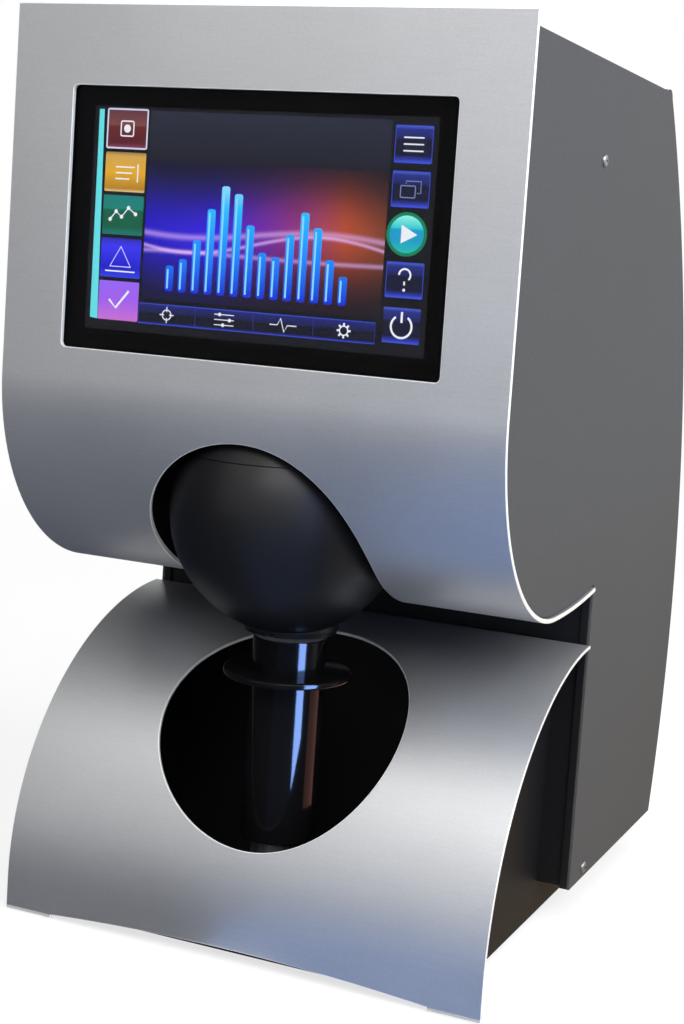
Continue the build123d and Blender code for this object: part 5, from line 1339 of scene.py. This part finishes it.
class Display(bpy.types.Operator):
    """Draw the lit display: keys with plain pictograms and a spectrum chart"""
    bl_idname = "colorimeter.display"
    bl_label = "Display"

    def execute(self, context):
        left, right, low, high = ACTIVE
        edge = SCREEN_HIGH + PICTURE_HIGH
        areas = (
            (left - 1, right + 1, low - 1, high + 1), (PICTURE_LEFT, PICTURE_RIGHT, edge, high - 2),
            (PICTURE_LEFT, PICTURE_RIGHT, SCREEN_HIGH + PICTURE_LOW, edge),
        )
        field = Shape()
        for k, area in enumerate(areas):
            field.patch(rounded(*area, 0.3, 2), FIELD_DEPTH - (STEP if k else 0.0), k)
        field.ready("display_field", "lcd", [lit(4, 5, 9), header(), picture()])
        self.bar(SCREEN_HIGH)
        self.left_keys(SCREEN_HIGH)
        self.right_keys(SCREEN_HIGH)
        self.marks(SCREEN_HIGH, sizes().icon_line / MM)
        self.chart(SCREEN_HIGH + CHART_LOW)
        return {"FINISHED"}

    def bar(self, top):
        corners = [(-99.7, top + 59.5), (-96.6, top + 59.5), (-94.4, top - 55), (-99.2, top - 54.4)]
        Shape().patch(corners, KEY_DEPTH).ready("display_bar", "lcd", [lit(98, 218, 226)])

    def left_keys(self, top):
        shape, faces = Shape(), []
        for k, rows in enumerate(LEFT_KEYS):
            low = top + KEY_LOW + KEY_PITCH * k
            shape.patch(rounded(-94.2, -68.6, low, low + KEY_HIGH, 0.7, 3), KEY_DEPTH, k)
            faces.append(key_face(low, KEY_PITCH, KEY_HIGH, *rows))
        chosen = rounded(-94.0, -68.8, low + 0.2, low + KEY_HIGH - 0.2, 0.7, 3)
        shape.stroke(chosen, 0.9, KEY_DEPTH - STEP, len(faces), True)
        shape.ready("display_left_keys", "lcd", faces + [lit(206, 212, 236)])

    def right_keys(self, top):
        shape, faces = Shape(), []
        line = len(RIGHT_KEYS)
        for k, (z0, z1) in enumerate(RIGHT_KEYS):
            shape.patch(rounded(78.4, 99.2, top + z0, top + z1, 0.4, 3), KEY_DEPTH, k)
            faces.append(key_face(top + z0, NO_PITCH, z1 - z0, *DARK_KEY))
        for z0, z1 in RIGHT_KEYS[:3]:
            shape.stroke(rounded(78.5, 99.1, top + z0, top + z1, 0.4, 3), 0.35, KEY_DEPTH - STEP, line, True)
        for k in range(4):
            left = STRIP_LEFT + STRIP_CELL * k
            cell = square(left, left + STRIP_CELL, top + STRIP_LOW, top + STRIP_HIGH)
            shape.patch(cell, KEY_DEPTH, line + 1)
            shape.stroke(cell, 0.5, KEY_DEPTH - STEP, line, True)
        faces += [lit(52, 74, 214), key_face(top + STRIP_LOW, NO_PITCH, STRIP_HIGH - STRIP_LOW, *STRIP_KEY)]
        shape.patch(circle(ROUND_X, top + ROUND_Z, ROUND_OUTER, 64), KEY_DEPTH, line + 2)
        shape.patch(circle(ROUND_X, top + ROUND_Z, ROUND_INNER, 64), KEY_DEPTH - STEP, line + 3)
        low = top + ROUND_Z - ROUND_INNER
        faces += [lit(6, 124, 84), key_face(low, NO_PITCH, 2 * ROUND_INNER, *ROUND_KEY)]
        shape.ready("display_right_keys", "lcd", faces)

    def marks(self, top, line):
        """White pictograms on the keys."""
        ink = Shape()

        def path(x, z, points, width=line, loop=False, material=0):
            ink.stroke([(x + u, top + z + v) for u, v in points], width, INK_DEPTH, material, loop)

        def dot(x, z, radius):
            ink.patch(circle(x, top + z, radius, 24), INK_DEPTH)

        x = -81.4
        path(x, 49.4, about(0, 0, 4, 4, 0.8, 3), loop=True)
        dot(x, 49.4, 2.2)
        for k in range(3):
            path(x, 28.6 - 3.2 * k, [(-6, 0), (6 - 1.6 * k, 0)])
        path(x + 8, 0, [(0, 20.6), (0, 30.4)])
        points = [(-8, 0.0), (-4.4, 4.4), (-0.8, 1.6), (3.4, 6.6), (8, 3.4)]
        path(x, 0, points)
        for u, v in points:
            dot(x + u, v, 1.1)
        path(x, 0, [(-6.6, -25.6), (6.6, -25.6), (0, -14.6)], loop=True)
        path(x, -28.2, [(-9.4, 0), (9.4, 0)])
        path(x, 0, [(-6, -43.8), (-1.6, -48.2), (6.4, -38.6)], 1.3)
        x = 88.8
        for z in (51.0, 47.6, 44.2):
            path(x, z, [(-5.6, 0), (5.6, 0)])
        path(x, 0, rounded(-5.6, 2.6, 20.6, 26.6, 0.5, 3), 0.55, True, 1)
        path(x, 0, [(-2.8, 27.6), (-2.8, 29.0), (5.6, 29.0), (5.6, 23.0), (3.6, 23.0)], 0.55, False, 1)
        ink.patch([(x - 3.6, top + 6.8), (x - 3.6, top - 2.8), (x + 5.4, top + 2.0)], INK_DEPTH)
        path(x, -18.8, circle(0, 0, 3.2, 20, 180, -225), 1.0)
        path(x, 0, [(0, -22.0), (0, -24.0)], 1.0)
        dot(x, -26.4, 0.8)
        path(x, -45.2, circle(0, 0, 5.8, 40, 125, 290), 1.15)
        path(x, 0, [(0, -43.2), (0, -37.6)], 1.25)
        x, z = STRIP_LEFT + STRIP_CELL / 2, (STRIP_LOW + STRIP_HIGH) / 2
        path(x, z, circle(0, 0, 2.7, 28), 0.6, True)
        for turn in range(0, 360, 90):
            path(x, z, turned_by([(1.6, 0), (4.4, 0)], turn), 0.6)
        x += STRIP_CELL
        for k, shift in enumerate((-2.8, 3.36, -0.56)):
            path(x, z + 2.8 - 2.8 * k, [(-6, 0), (6, 0)], 0.5)
            dot(x + shift, z + 2.8 - 2.8 * k, 1.0)
        x += STRIP_CELL
        path(x, z, [(-8, 0), (-3.4, 0), (-1.6, 3.6), (0.8, -3.6), (2.6, 0), (8, 0)], 0.6)
        x += STRIP_CELL
        path(x, z, circle(0, 0, 2.4, 24), 0.7, True)
        for turn in range(0, 360, 45):
            path(x, z, turned_by([(2.6, 0), (4.0, 0)], turn), 1.1)
        ink.ready("display_icons", "lcd", [lit(232, 236, 244), lit(120, 132, 178)])

    def chart(self, low):
        """The spectrum chart in the middle: bars with a bright line on each."""
        chart = Shape()
        for k in range(CHART_BARS):
            share = k / (CHART_BARS - 1)
            x = CHART_LEFT + CHART_WIDE * share
            peaks = ((46, 0.33, 0.17), (34, 0.78, 0.13))
            tall = 13 + sum(rise * math.exp(-((share - spot) / wide) ** 2) for rise, spot, wide in peaks)
            chart.patch(rounded(x - 2.5, x + 2.5, low, low + tall, 1.4, 4), INK_DEPTH + 0.04, 0)
            chart.patch(square(x - 1.6, x - 0.5, low + 1.6, low + tall - 2), INK_DEPTH, 1)
        faces = [key_face(low, NO_PITCH, CHART_HIGH, *CHART_BAR), lit(130, 214, 255)]
        chart.ready("display_chart", "lcd", faces)


# ---------------------------------------------------------------- rear covers
TOP_FRONT, TOP_SHEET, TOP_SEAM, REAR_SHEET = 2.6, 2.0, 13.0, 1.5
FLANGE_FRONT, FLANGE_HANG = 25.0, 16.0
MOUTH_WIDE, MOUTH_LOW, MOUTH_TOP = 127.5, 44.0, 220.5
VENT_LOW, VENT_PITCH, VENT_ROWS, VENT_HIGH, VENT_WIDE = 300.0, 9.0, 7, 3.0, 32.0
REAR_SCREWS = [(x, z) for x in (-141.0, 141.0) for z in (60.0, 262.0, 488.0)]
NEAR, AWAY = 0.9, 1.5  # a cut nearer than this to the rim of a vent moves on by that much


class RearCovers(bpy.types.Operator):
    """Make the top cover and the bowed rear cover with its vents and screws"""
    bl_idname = "colorimeter.rear_covers"
    bl_label = "Top and rear covers"

    def execute(self, context):
        start, under = bow(CASE_TOP) - TOP_SEAM, CASE_TOP - TOP_SHEET
        outline = rounded(-INNER, INNER, TOP_FRONT, start - 0.1, 0.6)
        top = Shape().plate([outline], under, CASE_TOP, as_is, 0.35)
        for side in (-1, 1):
            edges = sorted((side * INNER, side * (INNER - 1.5)))
            top.block(*edges, FLANGE_FRONT, start - 10.0, CASE_TOP - FLANGE_HANG, under, 0.3)
        top.ready("top_sheet", "grey_paint", [grey_paint()], "top_cover")

        bend = Bend([(start, CASE_TOP)] + rear_edge(1.0)[::-1], -1)
        loops = [rounded(-INNER, INNER, 0.0, bend.runs[-1], 0.6)]
        loops += [rounded(-MOUTH_WIDE, MOUTH_WIDE, bend.find(MOUTH_TOP, 1), bend.find(MOUTH_LOW, 1), 1.2)]
        rims = []
        for row in range(VENT_ROWS):
            low = VENT_LOW + VENT_PITCH * row
            span = (bend.find(low + VENT_HIGH, 1), bend.find(low, 1))
            rims += span
            loops += [rounded(x - VENT_WIDE, x + VENT_WIDE, *span, 1.4, 5) for x in (-60.0, 60.0)]
        close = [min(abs(cut - rim) for rim in rims) < NEAR for cut in bend.runs[1:-1]]
        cuts = [cut + (AWAY if shifted else 0.0) for cut, shifted in zip(bend.runs[1:-1], close)]
        shape = Shape().plate(loops, REAR_SHEET, 0.0, bend.place, 0.3, cuts=cuts)
        for x, z in REAR_SCREWS:
            pan_head(shape, bend.outside(x, bend.find(z, 1)), 2.9, 0.0, 1.7, 1, 2)
        shape.ready("rear_sheet", "grey_paint", [grey_paint(), plated_screw(), black_paint()], "rear_cover")
        dress("service_plate", black_paint())
        return {"FINISHED"}


# ---------------------------------------------------------------- fan
SERVICE, SERVICE_BACK, GUARD_BACK, FACE_BACK = 362.0, 364.0, 365.2, 367.0
FAN_X, FAN_Z, FAN_BORE, FAN_HOLE, FAN_FRONT = 62.0, 140.0, 37.5, 35.75, 337.0
FAN_CORNERS = [(u, v) for u in (-FAN_HOLE, FAN_HOLE) for v in (-FAN_HOLE, FAN_HOLE)]
GUARD_RADIUS, GUARD_REACH, GUARD_ARM, GUARD_ROUND = 41.0, 55.0, 4.5, 2.0
GUARD_RINGS, GUARD_BAR = ((38, 32), (29, 23), (20, 14)), 1.5
# Outlines as (radius, depth).
HUB = (
    (0.0, 359.8), (13.8, 359.9), (15.9, 359.4), (17.0, 358.0), (17.0, 342.6), (16.4, 342.0), (3.3, 342.0),
    (3.3, 350.0), (0.0, 350.0),
)
MOTOR = (
    (0.0, 337.0), (16.6, 337.0), (17.0, 337.4), (17.0, 340.6), (16.6, 341.0), (3.0, 341.0), (3.0, 348.6),
    (2.6, 349.0), (0.0, 349.0),
)
GUARD_SCREW = ((1.9, GUARD_BACK), (1.9, 354.6), (1.5, 354.0), (0.0, 354.0))
BLADES, BLADE_PITCH, BLADE_LEAN, BLADE_DEPTH = 7, 35.0, 0.10, 351.0
BLADE_ROOT, BLADE_LONG, BLADE_HALF, BLADE_CAMBER = 16.2, 19.8, 8.3, 1.3


def guard_outline():
    """A round guard with four arms, as points round its edge."""
    lean = math.degrees(math.asin(GUARD_ARM / GUARD_RADIUS))
    reach, half = GUARD_REACH - GUARD_ROUND, GUARD_ARM - GUARD_ROUND
    end = circle(reach, -half, GUARD_ROUND, 5, -90, 90) + circle(reach, half, GUARD_ROUND, 5, 0, 90)
    points = []
    for middle in range(45, 360, 90):
        points += circle(0, 0, GUARD_RADIUS, 24, middle - 90 + lean, 90 - 2 * lean) + turned_by(end, middle)
    return points


def ring_slots(outer, inner):
    """Four slots of a ring, between upright and level bars."""
    first, second = (math.degrees(math.asin(GUARD_BAR / radius)) for radius in (outer, inner))
    return [
        circle(0, 0, outer, 28, start + first, 90 - 2 * first)
        + circle(0, 0, inner, 28, start + second, 90 - 2 * second)[::-1]
        for start in range(0, 360, 90)]


class Fan(bpy.types.Operator):
    """Make the fan with its twisted blades, its stamped guard and their screws"""
    bl_idname = "colorimeter.fan"
    bl_label = "Fan"

    def execute(self, context):
        place = from_front(FAN_X, FAN_Z)
        holes = [circle(*corner, 2.1, 24) for corner in FAN_CORNERS]
        loops = [guard_outline(), *holes]
        for ring in GUARD_RINGS:
            loops += ring_slots(*ring)
        guard = Shape().plate(loops, SERVICE_BACK + 0.02, GUARD_BACK, place, 0.3)
        guard.ready("finger_guard", "zinc_sheet", [zinc_sheet()], "fan_guard")

        screws = Shape()
        for u, v in FAN_CORNERS:
            spot = from_front(FAN_X + u, FAN_Z + v)
            pan_head(screws, spot, 3.6, GUARD_BACK, GUARD_BACK + 2.0)
            screws.turned(GUARD_SCREW, spot, 24)
        screws.ready("guard_screws", "screw_steel", [plated_screw(), black_paint()], "fan_screws")

        rotor = Shape().turned(HUB, place)
        for k in range(BLADES):
            self.blade(rotor, place, -360 * k / BLADES)
        rotor.ready("fan_impeller", "black_plastic", [black_plastic()], "fan_rotor", "fan")

        loops = [about(0, 0, 40.0, 40.0, 4.0), circle(0, 0, FAN_BORE, 96), *holes]
        housing = Shape().plate(loops, FAN_FRONT, SERVICE - 0.02, place, 0.5).turned(MOTOR, place)
        for turn in range(45, 360, 90):
            arm = turned_by(rounded(16.0, 38.5, -2.0, 2.0, 0.5), turn)
            housing.plate([arm], FAN_FRONT, FAN_FRONT + 4.0, place, 0.4)
        housing.ready("fan_housing", "black_plastic", [black_plastic()], "fan_frame")
        return {"FINISHED"}

    def blade(self, shape, place, turn):
        """One cambered blade, thin at its edges, from the hub to the tip."""
        part = bmesh.new()
        rims = []
        for side in (1, -1):
            grid = []
            for reach in (step / 8 for step in range(9)):
                lead = turn - math.degrees(BLADE_LEAN * reach ** 2)
                row = []
                for share in (step / 5 for step in range(-5, 6)):
                    thick = 0.25 + 0.55 * math.sqrt(max(0.0, 1 - share * share))
                    bulge = BLADE_CAMBER * (1 - share * share) + side * thick
                    depth, sweep = turned_by([(BLADE_HALF * share, bulge)], BLADE_PITCH)[0]
                    u, v = turned_by([(BLADE_ROOT + BLADE_LONG * reach, sweep)], lead)[0]
                    row.append(part.verts.new((u, v, BLADE_DEPTH + depth)))
                grid.append(row)
            for a, b in zip(grid, grid[1:]):
                bridge(part, a, b, closed=False)
            ends = [row[-1] for row in grid[1:]], [row[0] for row in grid[-2:0:-1]]
            rims.append(grid[0] + ends[0] + grid[-1][-2::-1] + ends[1])
        bridge(part, *rims)
        shape.take(part, place, 0)


# ---------------------------------------------------------------- power entry
INLET_X, FUSE_Z, SOCKET_Z, ROCKER_Z = -75.0, 76.0, 106.0, 146.0
SOCKET = ((-12, 98), (12, 98), (12, 110.6), (8.6, 114), (-8.6, 114), (-12, 110.6))
SOCKET_PINS, INLET_SCREWS = ((-7, -2), (0, 2), (7, -2)), (-20, 20)
WELLS = ((96.0, 116.0, 350.0), (68.0, 84.0, 344.0), (136.0, 156.0, 353.0))  # bottom, top and depth
INLET_FRONT, DRAWER_FRONT, DRAWER_BACK = 338.0, 345.0, 368.5
PIVOT, TILT, ROCKER_HALF = 361.0, 8.0, 11
PIN = ((0, -12.8), (1.3, -12.8), (1.5, -12.6), (1.5, 12.6), (1.3, 12.8), (0, 12.8))  # radius, distance across
PRINT = 0.05  # height of a printed mark over its face


class PowerEntry(bpy.types.Operator):
    """Make the mains inlet with its pins, the fuse drawer and the rocker switch"""
    bl_idname = "colorimeter.power_entry"
    bl_label = "Mains inlet, fuse and switch"

    def execute(self, context):
        place = from_front(INLET_X, 0)
        wells = [list(SOCKET), about(0, FUSE_Z, 12, 6, 0.6), about(0, ROCKER_Z, 11.5, 8, 0.8)]
        screws = [circle(u, SOCKET_Z, 2.4, 32) for u in INLET_SCREWS]
        bezel = [rounded(-25, 25, 60, 162, 3.0), *wells, *screws]
        inlet = Shape().plate(bezel, SERVICE_BACK, FACE_BACK, place, 0.5)
        inlet.plate([rounded(-14.9, 14.9, 64.1, 157.9, 1.0), *wells], INLET_FRONT, SERVICE_BACK, place)
        for low, high, depth in WELLS:
            inlet.block(INLET_X - 13.5, INLET_X + 13.5, depth - 1.5, depth, low, high, 0.0)
        collar = [(u * 1.09, SOCKET_Z + (v - SOCKET_Z) * 1.13) for u, v in SOCKET]
        inlet.plate([collar, SOCKET], FACE_BACK - 0.2, FACE_BACK + 0.35, place, 0.15)
        for u, v in SOCKET_PINS:
            x, z = INLET_X + u, SOCKET_Z + v
            inlet.block(x - 1, x + 1, WELLS[0][2] - 0.2, SERVICE_BACK, z - 2, z + 2, 0.7, 3, 1)
        for u in INLET_SCREWS:
            pan_head(inlet, from_front(INLET_X + u, SOCKET_Z), 2.35, FACE_BACK - 2.0, FACE_BACK - 0.3, 1)
        inlet.ready("power_inlet", "black_plastic", [black_plastic(), plated_screw()], "mains_inlet")
        self.drawer(place)
        self.rocker()
        return {"FINISHED"}

    def drawer(self, place):
        """The fuse drawer with its finger notch and its fuse sign."""
        outline, notch = about(0, FUSE_Z, 11.9, 5.9, 0.8), rounded(-8, 8, FUSE_Z + 2, FUSE_Z + 4, 0.8)
        drawer = Shape().plate([outline], DRAWER_FRONT, DRAWER_BACK - 0.9, place, 0.3)
        drawer.plate([outline, notch], DRAWER_BACK - 1.0, DRAWER_BACK, place, 0.35)
        fuse = square(INLET_X - 4.0, INLET_X + 4.0, FUSE_Z - 3.9, FUSE_Z - 1.1)
        wire = [(INLET_X - 5.8, FUSE_Z - 2.5), (INLET_X + 5.8, FUSE_Z - 2.5)]
        for line, loop in ((fuse, True), (wire, False)):
            drawer.stroke(line, 0.5, DRAWER_BACK + 0.04, 1, loop, 1)
        drawer.ready("fuse_carrier", "black_plastic", [black_plastic(), painted_mark("grey")], "fuse_drawer",
                     "fuse_holder")

    def rocker(self):
        """The hollowed rocker on its pivot, with its on and off marks."""
        def hollow(v):
            return 5.6 + 1.8 * (v / 6.4) ** 2

        def place(u, v, w):
            depth, rise = turned_by([(u, v)], TILT)[0]
            return (INLET_X + w, PIVOT + depth, ROCKER_Z + rise)

        face = [(hollow(6.1 * k / 10), 6.1 * k / 10) for k in range(-10, 11)]
        profile = [(-3, -5), (6.9, -6.36), (7.2, -6.28), *face, (7.2, 6.28), (6.9, 6.36), (-3, 5)]
        shape = Shape().plate([profile], -ROCKER_HALF, ROCKER_HALF, place, 0.5, 3).turned(PIN, place, 32)
        part = bmesh.new()
        off_mark = [circle(0, -3.4, radius, 40) for radius in (1.05, 1.5)]
        on_mark = [[(w, 2.0 + 0.3 * k) for w in (-0.3, 0.3)] for k in range(11)]
        inner, outer, *rows = [
            [part.verts.new((hollow(v) + PRINT, v, w)) for w, v in row] for row in off_mark + on_mark]
        bridge(part, inner, outer)
        for a, b in zip(rows, rows[1:]):
            bridge(part, b, a, closed=False)
        shape.take(part, place, 1)
        finishes = [black_plastic(), painted_mark("white")]
        shape.ready("rocker_cap", "black_plastic", finishes, "power_switch", "rocker")


# ---------------------------------------------------------------- sockets, feet and inside
PORT_Z, SHELL_FRONT, SHELL_BACK, SHELL_SHEET = 179.0, 348.0, 365.0, 0.9
# Left, right, bottom and top of each socket, from the inlet's middle and the sockets' height.
PORTS = ((-26.8, -11.2, -6.8, 6.8), (-0.8, 6.8, -7.3, 7.3), (15.2, 22.8, -7.3, 7.3))
FOOT = (
    (3.4, 2.4), (3.4, 0.5), (3.8, 0.0), (9.2, 0.0), (9.8, 0.3), (10.1, 0.8), (10.9, 5.6), (10.6, 6.0),
    (0.0, 6.0),
)
FEET = [(x, depth) for x in (-100.0, 100.0) for depth in (62.0, 336.0)]


class DataSockets(bpy.types.Operator):
    """Make the shells, tongues and contacts of the three data sockets"""
    bl_idname = "colorimeter.data_sockets"
    bl_label = "Data sockets"

    def execute(self, context):
        shape = Shape()
        for make, (x0, x1, z0, z1) in zip((self.wide, self.narrow, self.narrow), PORTS):
            sides = (INLET_X + x0, INLET_X + x1, PORT_Z + z0, PORT_Z + z1)
            left, right, low, high = sides
            hollow = rounded(
                left + SHELL_SHEET, right - SHELL_SHEET, low + SHELL_SHEET, high - SHELL_SHEET, 0.5, 4)
            shape.plate([rounded(*sides, 0.9, 4), hollow], SHELL_FRONT, SHELL_BACK, facing, 0.2)
            shape.plate([hollow], 350.5, 352.0, facing, skin=1)
            for z in (low - 1.8, high):
                shape.block(left - 1.7, right + 1.7, SERVICE_BACK, SHELL_BACK, z, z + 1.8, 0.3)
            make(shape, *sides)
        finishes = [plated_screw(), black_plastic(), brass(), amber_window()]
        shape.ready("data_sockets", "screw_steel", finishes, "data_ports")
        return {"FINISHED"}

    def wide(self, shape, left, right, low, high):
        """Tongue, eight contacts and two small windows of the wide socket."""
        shape.block(left + 1.0, right - 1.0, 352.0, 360.5, low + 1.0, low + 3.6, 0.3, 2, 1)
        for k in range(8):
            x = (left + right) / 2 - 4.55 + 1.3 * k
            shape.block(x - 0.22, x + 0.22, 352.0, 361.5, low + 3.6, low + 4.1, 0.0, 2, 2)
        for x in (left + 2.4, right - 2.4):
            shape.block(x - 1.2, x + 1.2, 362.6, 364.6, high - 2.3, high - 0.9, 0.2, 2, 3)

    def narrow(self, shape, left, _, low, high):
        """Tongue and four contacts of a narrow socket."""
        shape.block(left + 1.7, left + 3.3, 351.5, 363.0, low + 1.9, high - 1.9, 0.25, 2, 1)
        for k in range(4):
            z = PORT_Z - 3.9 + 2.6 * k
            shape.block(left + 3.3, left + 3.42, 353.0, 362.0, z - 0.5, z + 0.5, 0.0, 2, 2)


class Feet(bpy.types.Operator):
    """Make the rubber feet with their rounded rims and sunk screws"""
    bl_idname = "colorimeter.feet"
    bl_label = "Feet"

    def execute(self, context):
        shape = Shape()
        for corner in FEET:
            spot = upright(*corner)
            shape.turned(FOOT, spot, 64)
            pan_head(shape, spot, 2.7, 3.0, 1.4, 1, 0)
            shape.turned([(3.4, 2.4), (0.0, 2.6)], spot, 64)
        shape.ready("feet", "rubber", [rubber(), plated_screw()], "rubber_feet")
        return {"FINISHED"}


INSIDE = (
    (zinc_sheet, "equipment_deck optics_bracket upper_crossbar cover_rails display_bracket supply_chassis "
                 "lcd_back_frame"),
    (white_lining, "sphere_lower_half sphere_upper_half"),
    (plated_screw, "sphere_screws"),
    (anodised_black, "lens_tube spectrometer_housing spectrometer_lid lamp_tube filter_slide "
                     "filter_actuator"),
    (clear_glass, "objective_lens uv_filter lamp_bulb"),
    (alloy, "lamp_housing heat_sink lamp_driver"),
    (ceramic, "lamp_socket"),
    (circuit_green, "display_board main_board control_board supply_board"),
    (brass, "board_standoffs"),
)


class Inside(bpy.types.Operator):
    """Finish the frame, the optics and the boards inside the case"""
    bl_idname = "colorimeter.inside"
    bl_label = "Inside"

    def execute(self, context):
        for make, nodes in INSIDE:
            dress(nodes, make())
        return {"FINISHED"}


# ---------------------------------------------------------------- panel and registration
GROUPS = {
    "colorimeter_sizes": ColorimeterSizes,
    "colorimeter_colours": ColorimeterColours,
    "colorimeter_stage": ColorimeterStage,
}
STEPS = (
    Stage, UpperCover, LowerCover, SidePanels, SideScrews, RearCovers, Dome, Aperture, Plunger, SampleBay,
    TouchScreen, Display, Fan, PowerEntry, DataSockets, Feet, Inside,
)


class ColorimeterPanel(bpy.types.Panel):
    """Sizes, colours and the steps that make each group of pieces"""
    bl_idname = "VIEW3D_PT_colorimeter"
    bl_label = "Benchtop colorimeter"
    bl_space_type = "VIEW_3D"
    bl_region_type = "UI"
    bl_category = "Colorimeter"

    def draw(self, context):
        for name in GROUPS:
            group = getattr(context.scene, name)
            box = self.layout.box()
            for key in group.bl_rna.properties.keys():
                if key not in ("rna_type", "name"):
                    box.prop(group, key)
        for step in STEPS:
            self.layout.operator(step.bl_idname)


def register():
    for kind in (*GROUPS.values(), *STEPS, ColorimeterPanel):
        bpy.utils.register_class(kind)
    for name, group in GROUPS.items():
        setattr(bpy.types.Scene, name, bpy.props.PointerProperty(type=group))


def unregister():
    for name in GROUPS:
        delattr(bpy.types.Scene, name)
    for kind in reversed((*GROUPS.values(), *STEPS, ColorimeterPanel)):
        bpy.utils.unregister_class(kind)


def main():
    """Makes every piece in order."""
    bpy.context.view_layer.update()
    register()
    for step in STEPS:
        group, name = step.bl_idname.split(".")
        getattr(getattr(bpy.ops, group), name)()


if __name__ == "__main__":
    main()
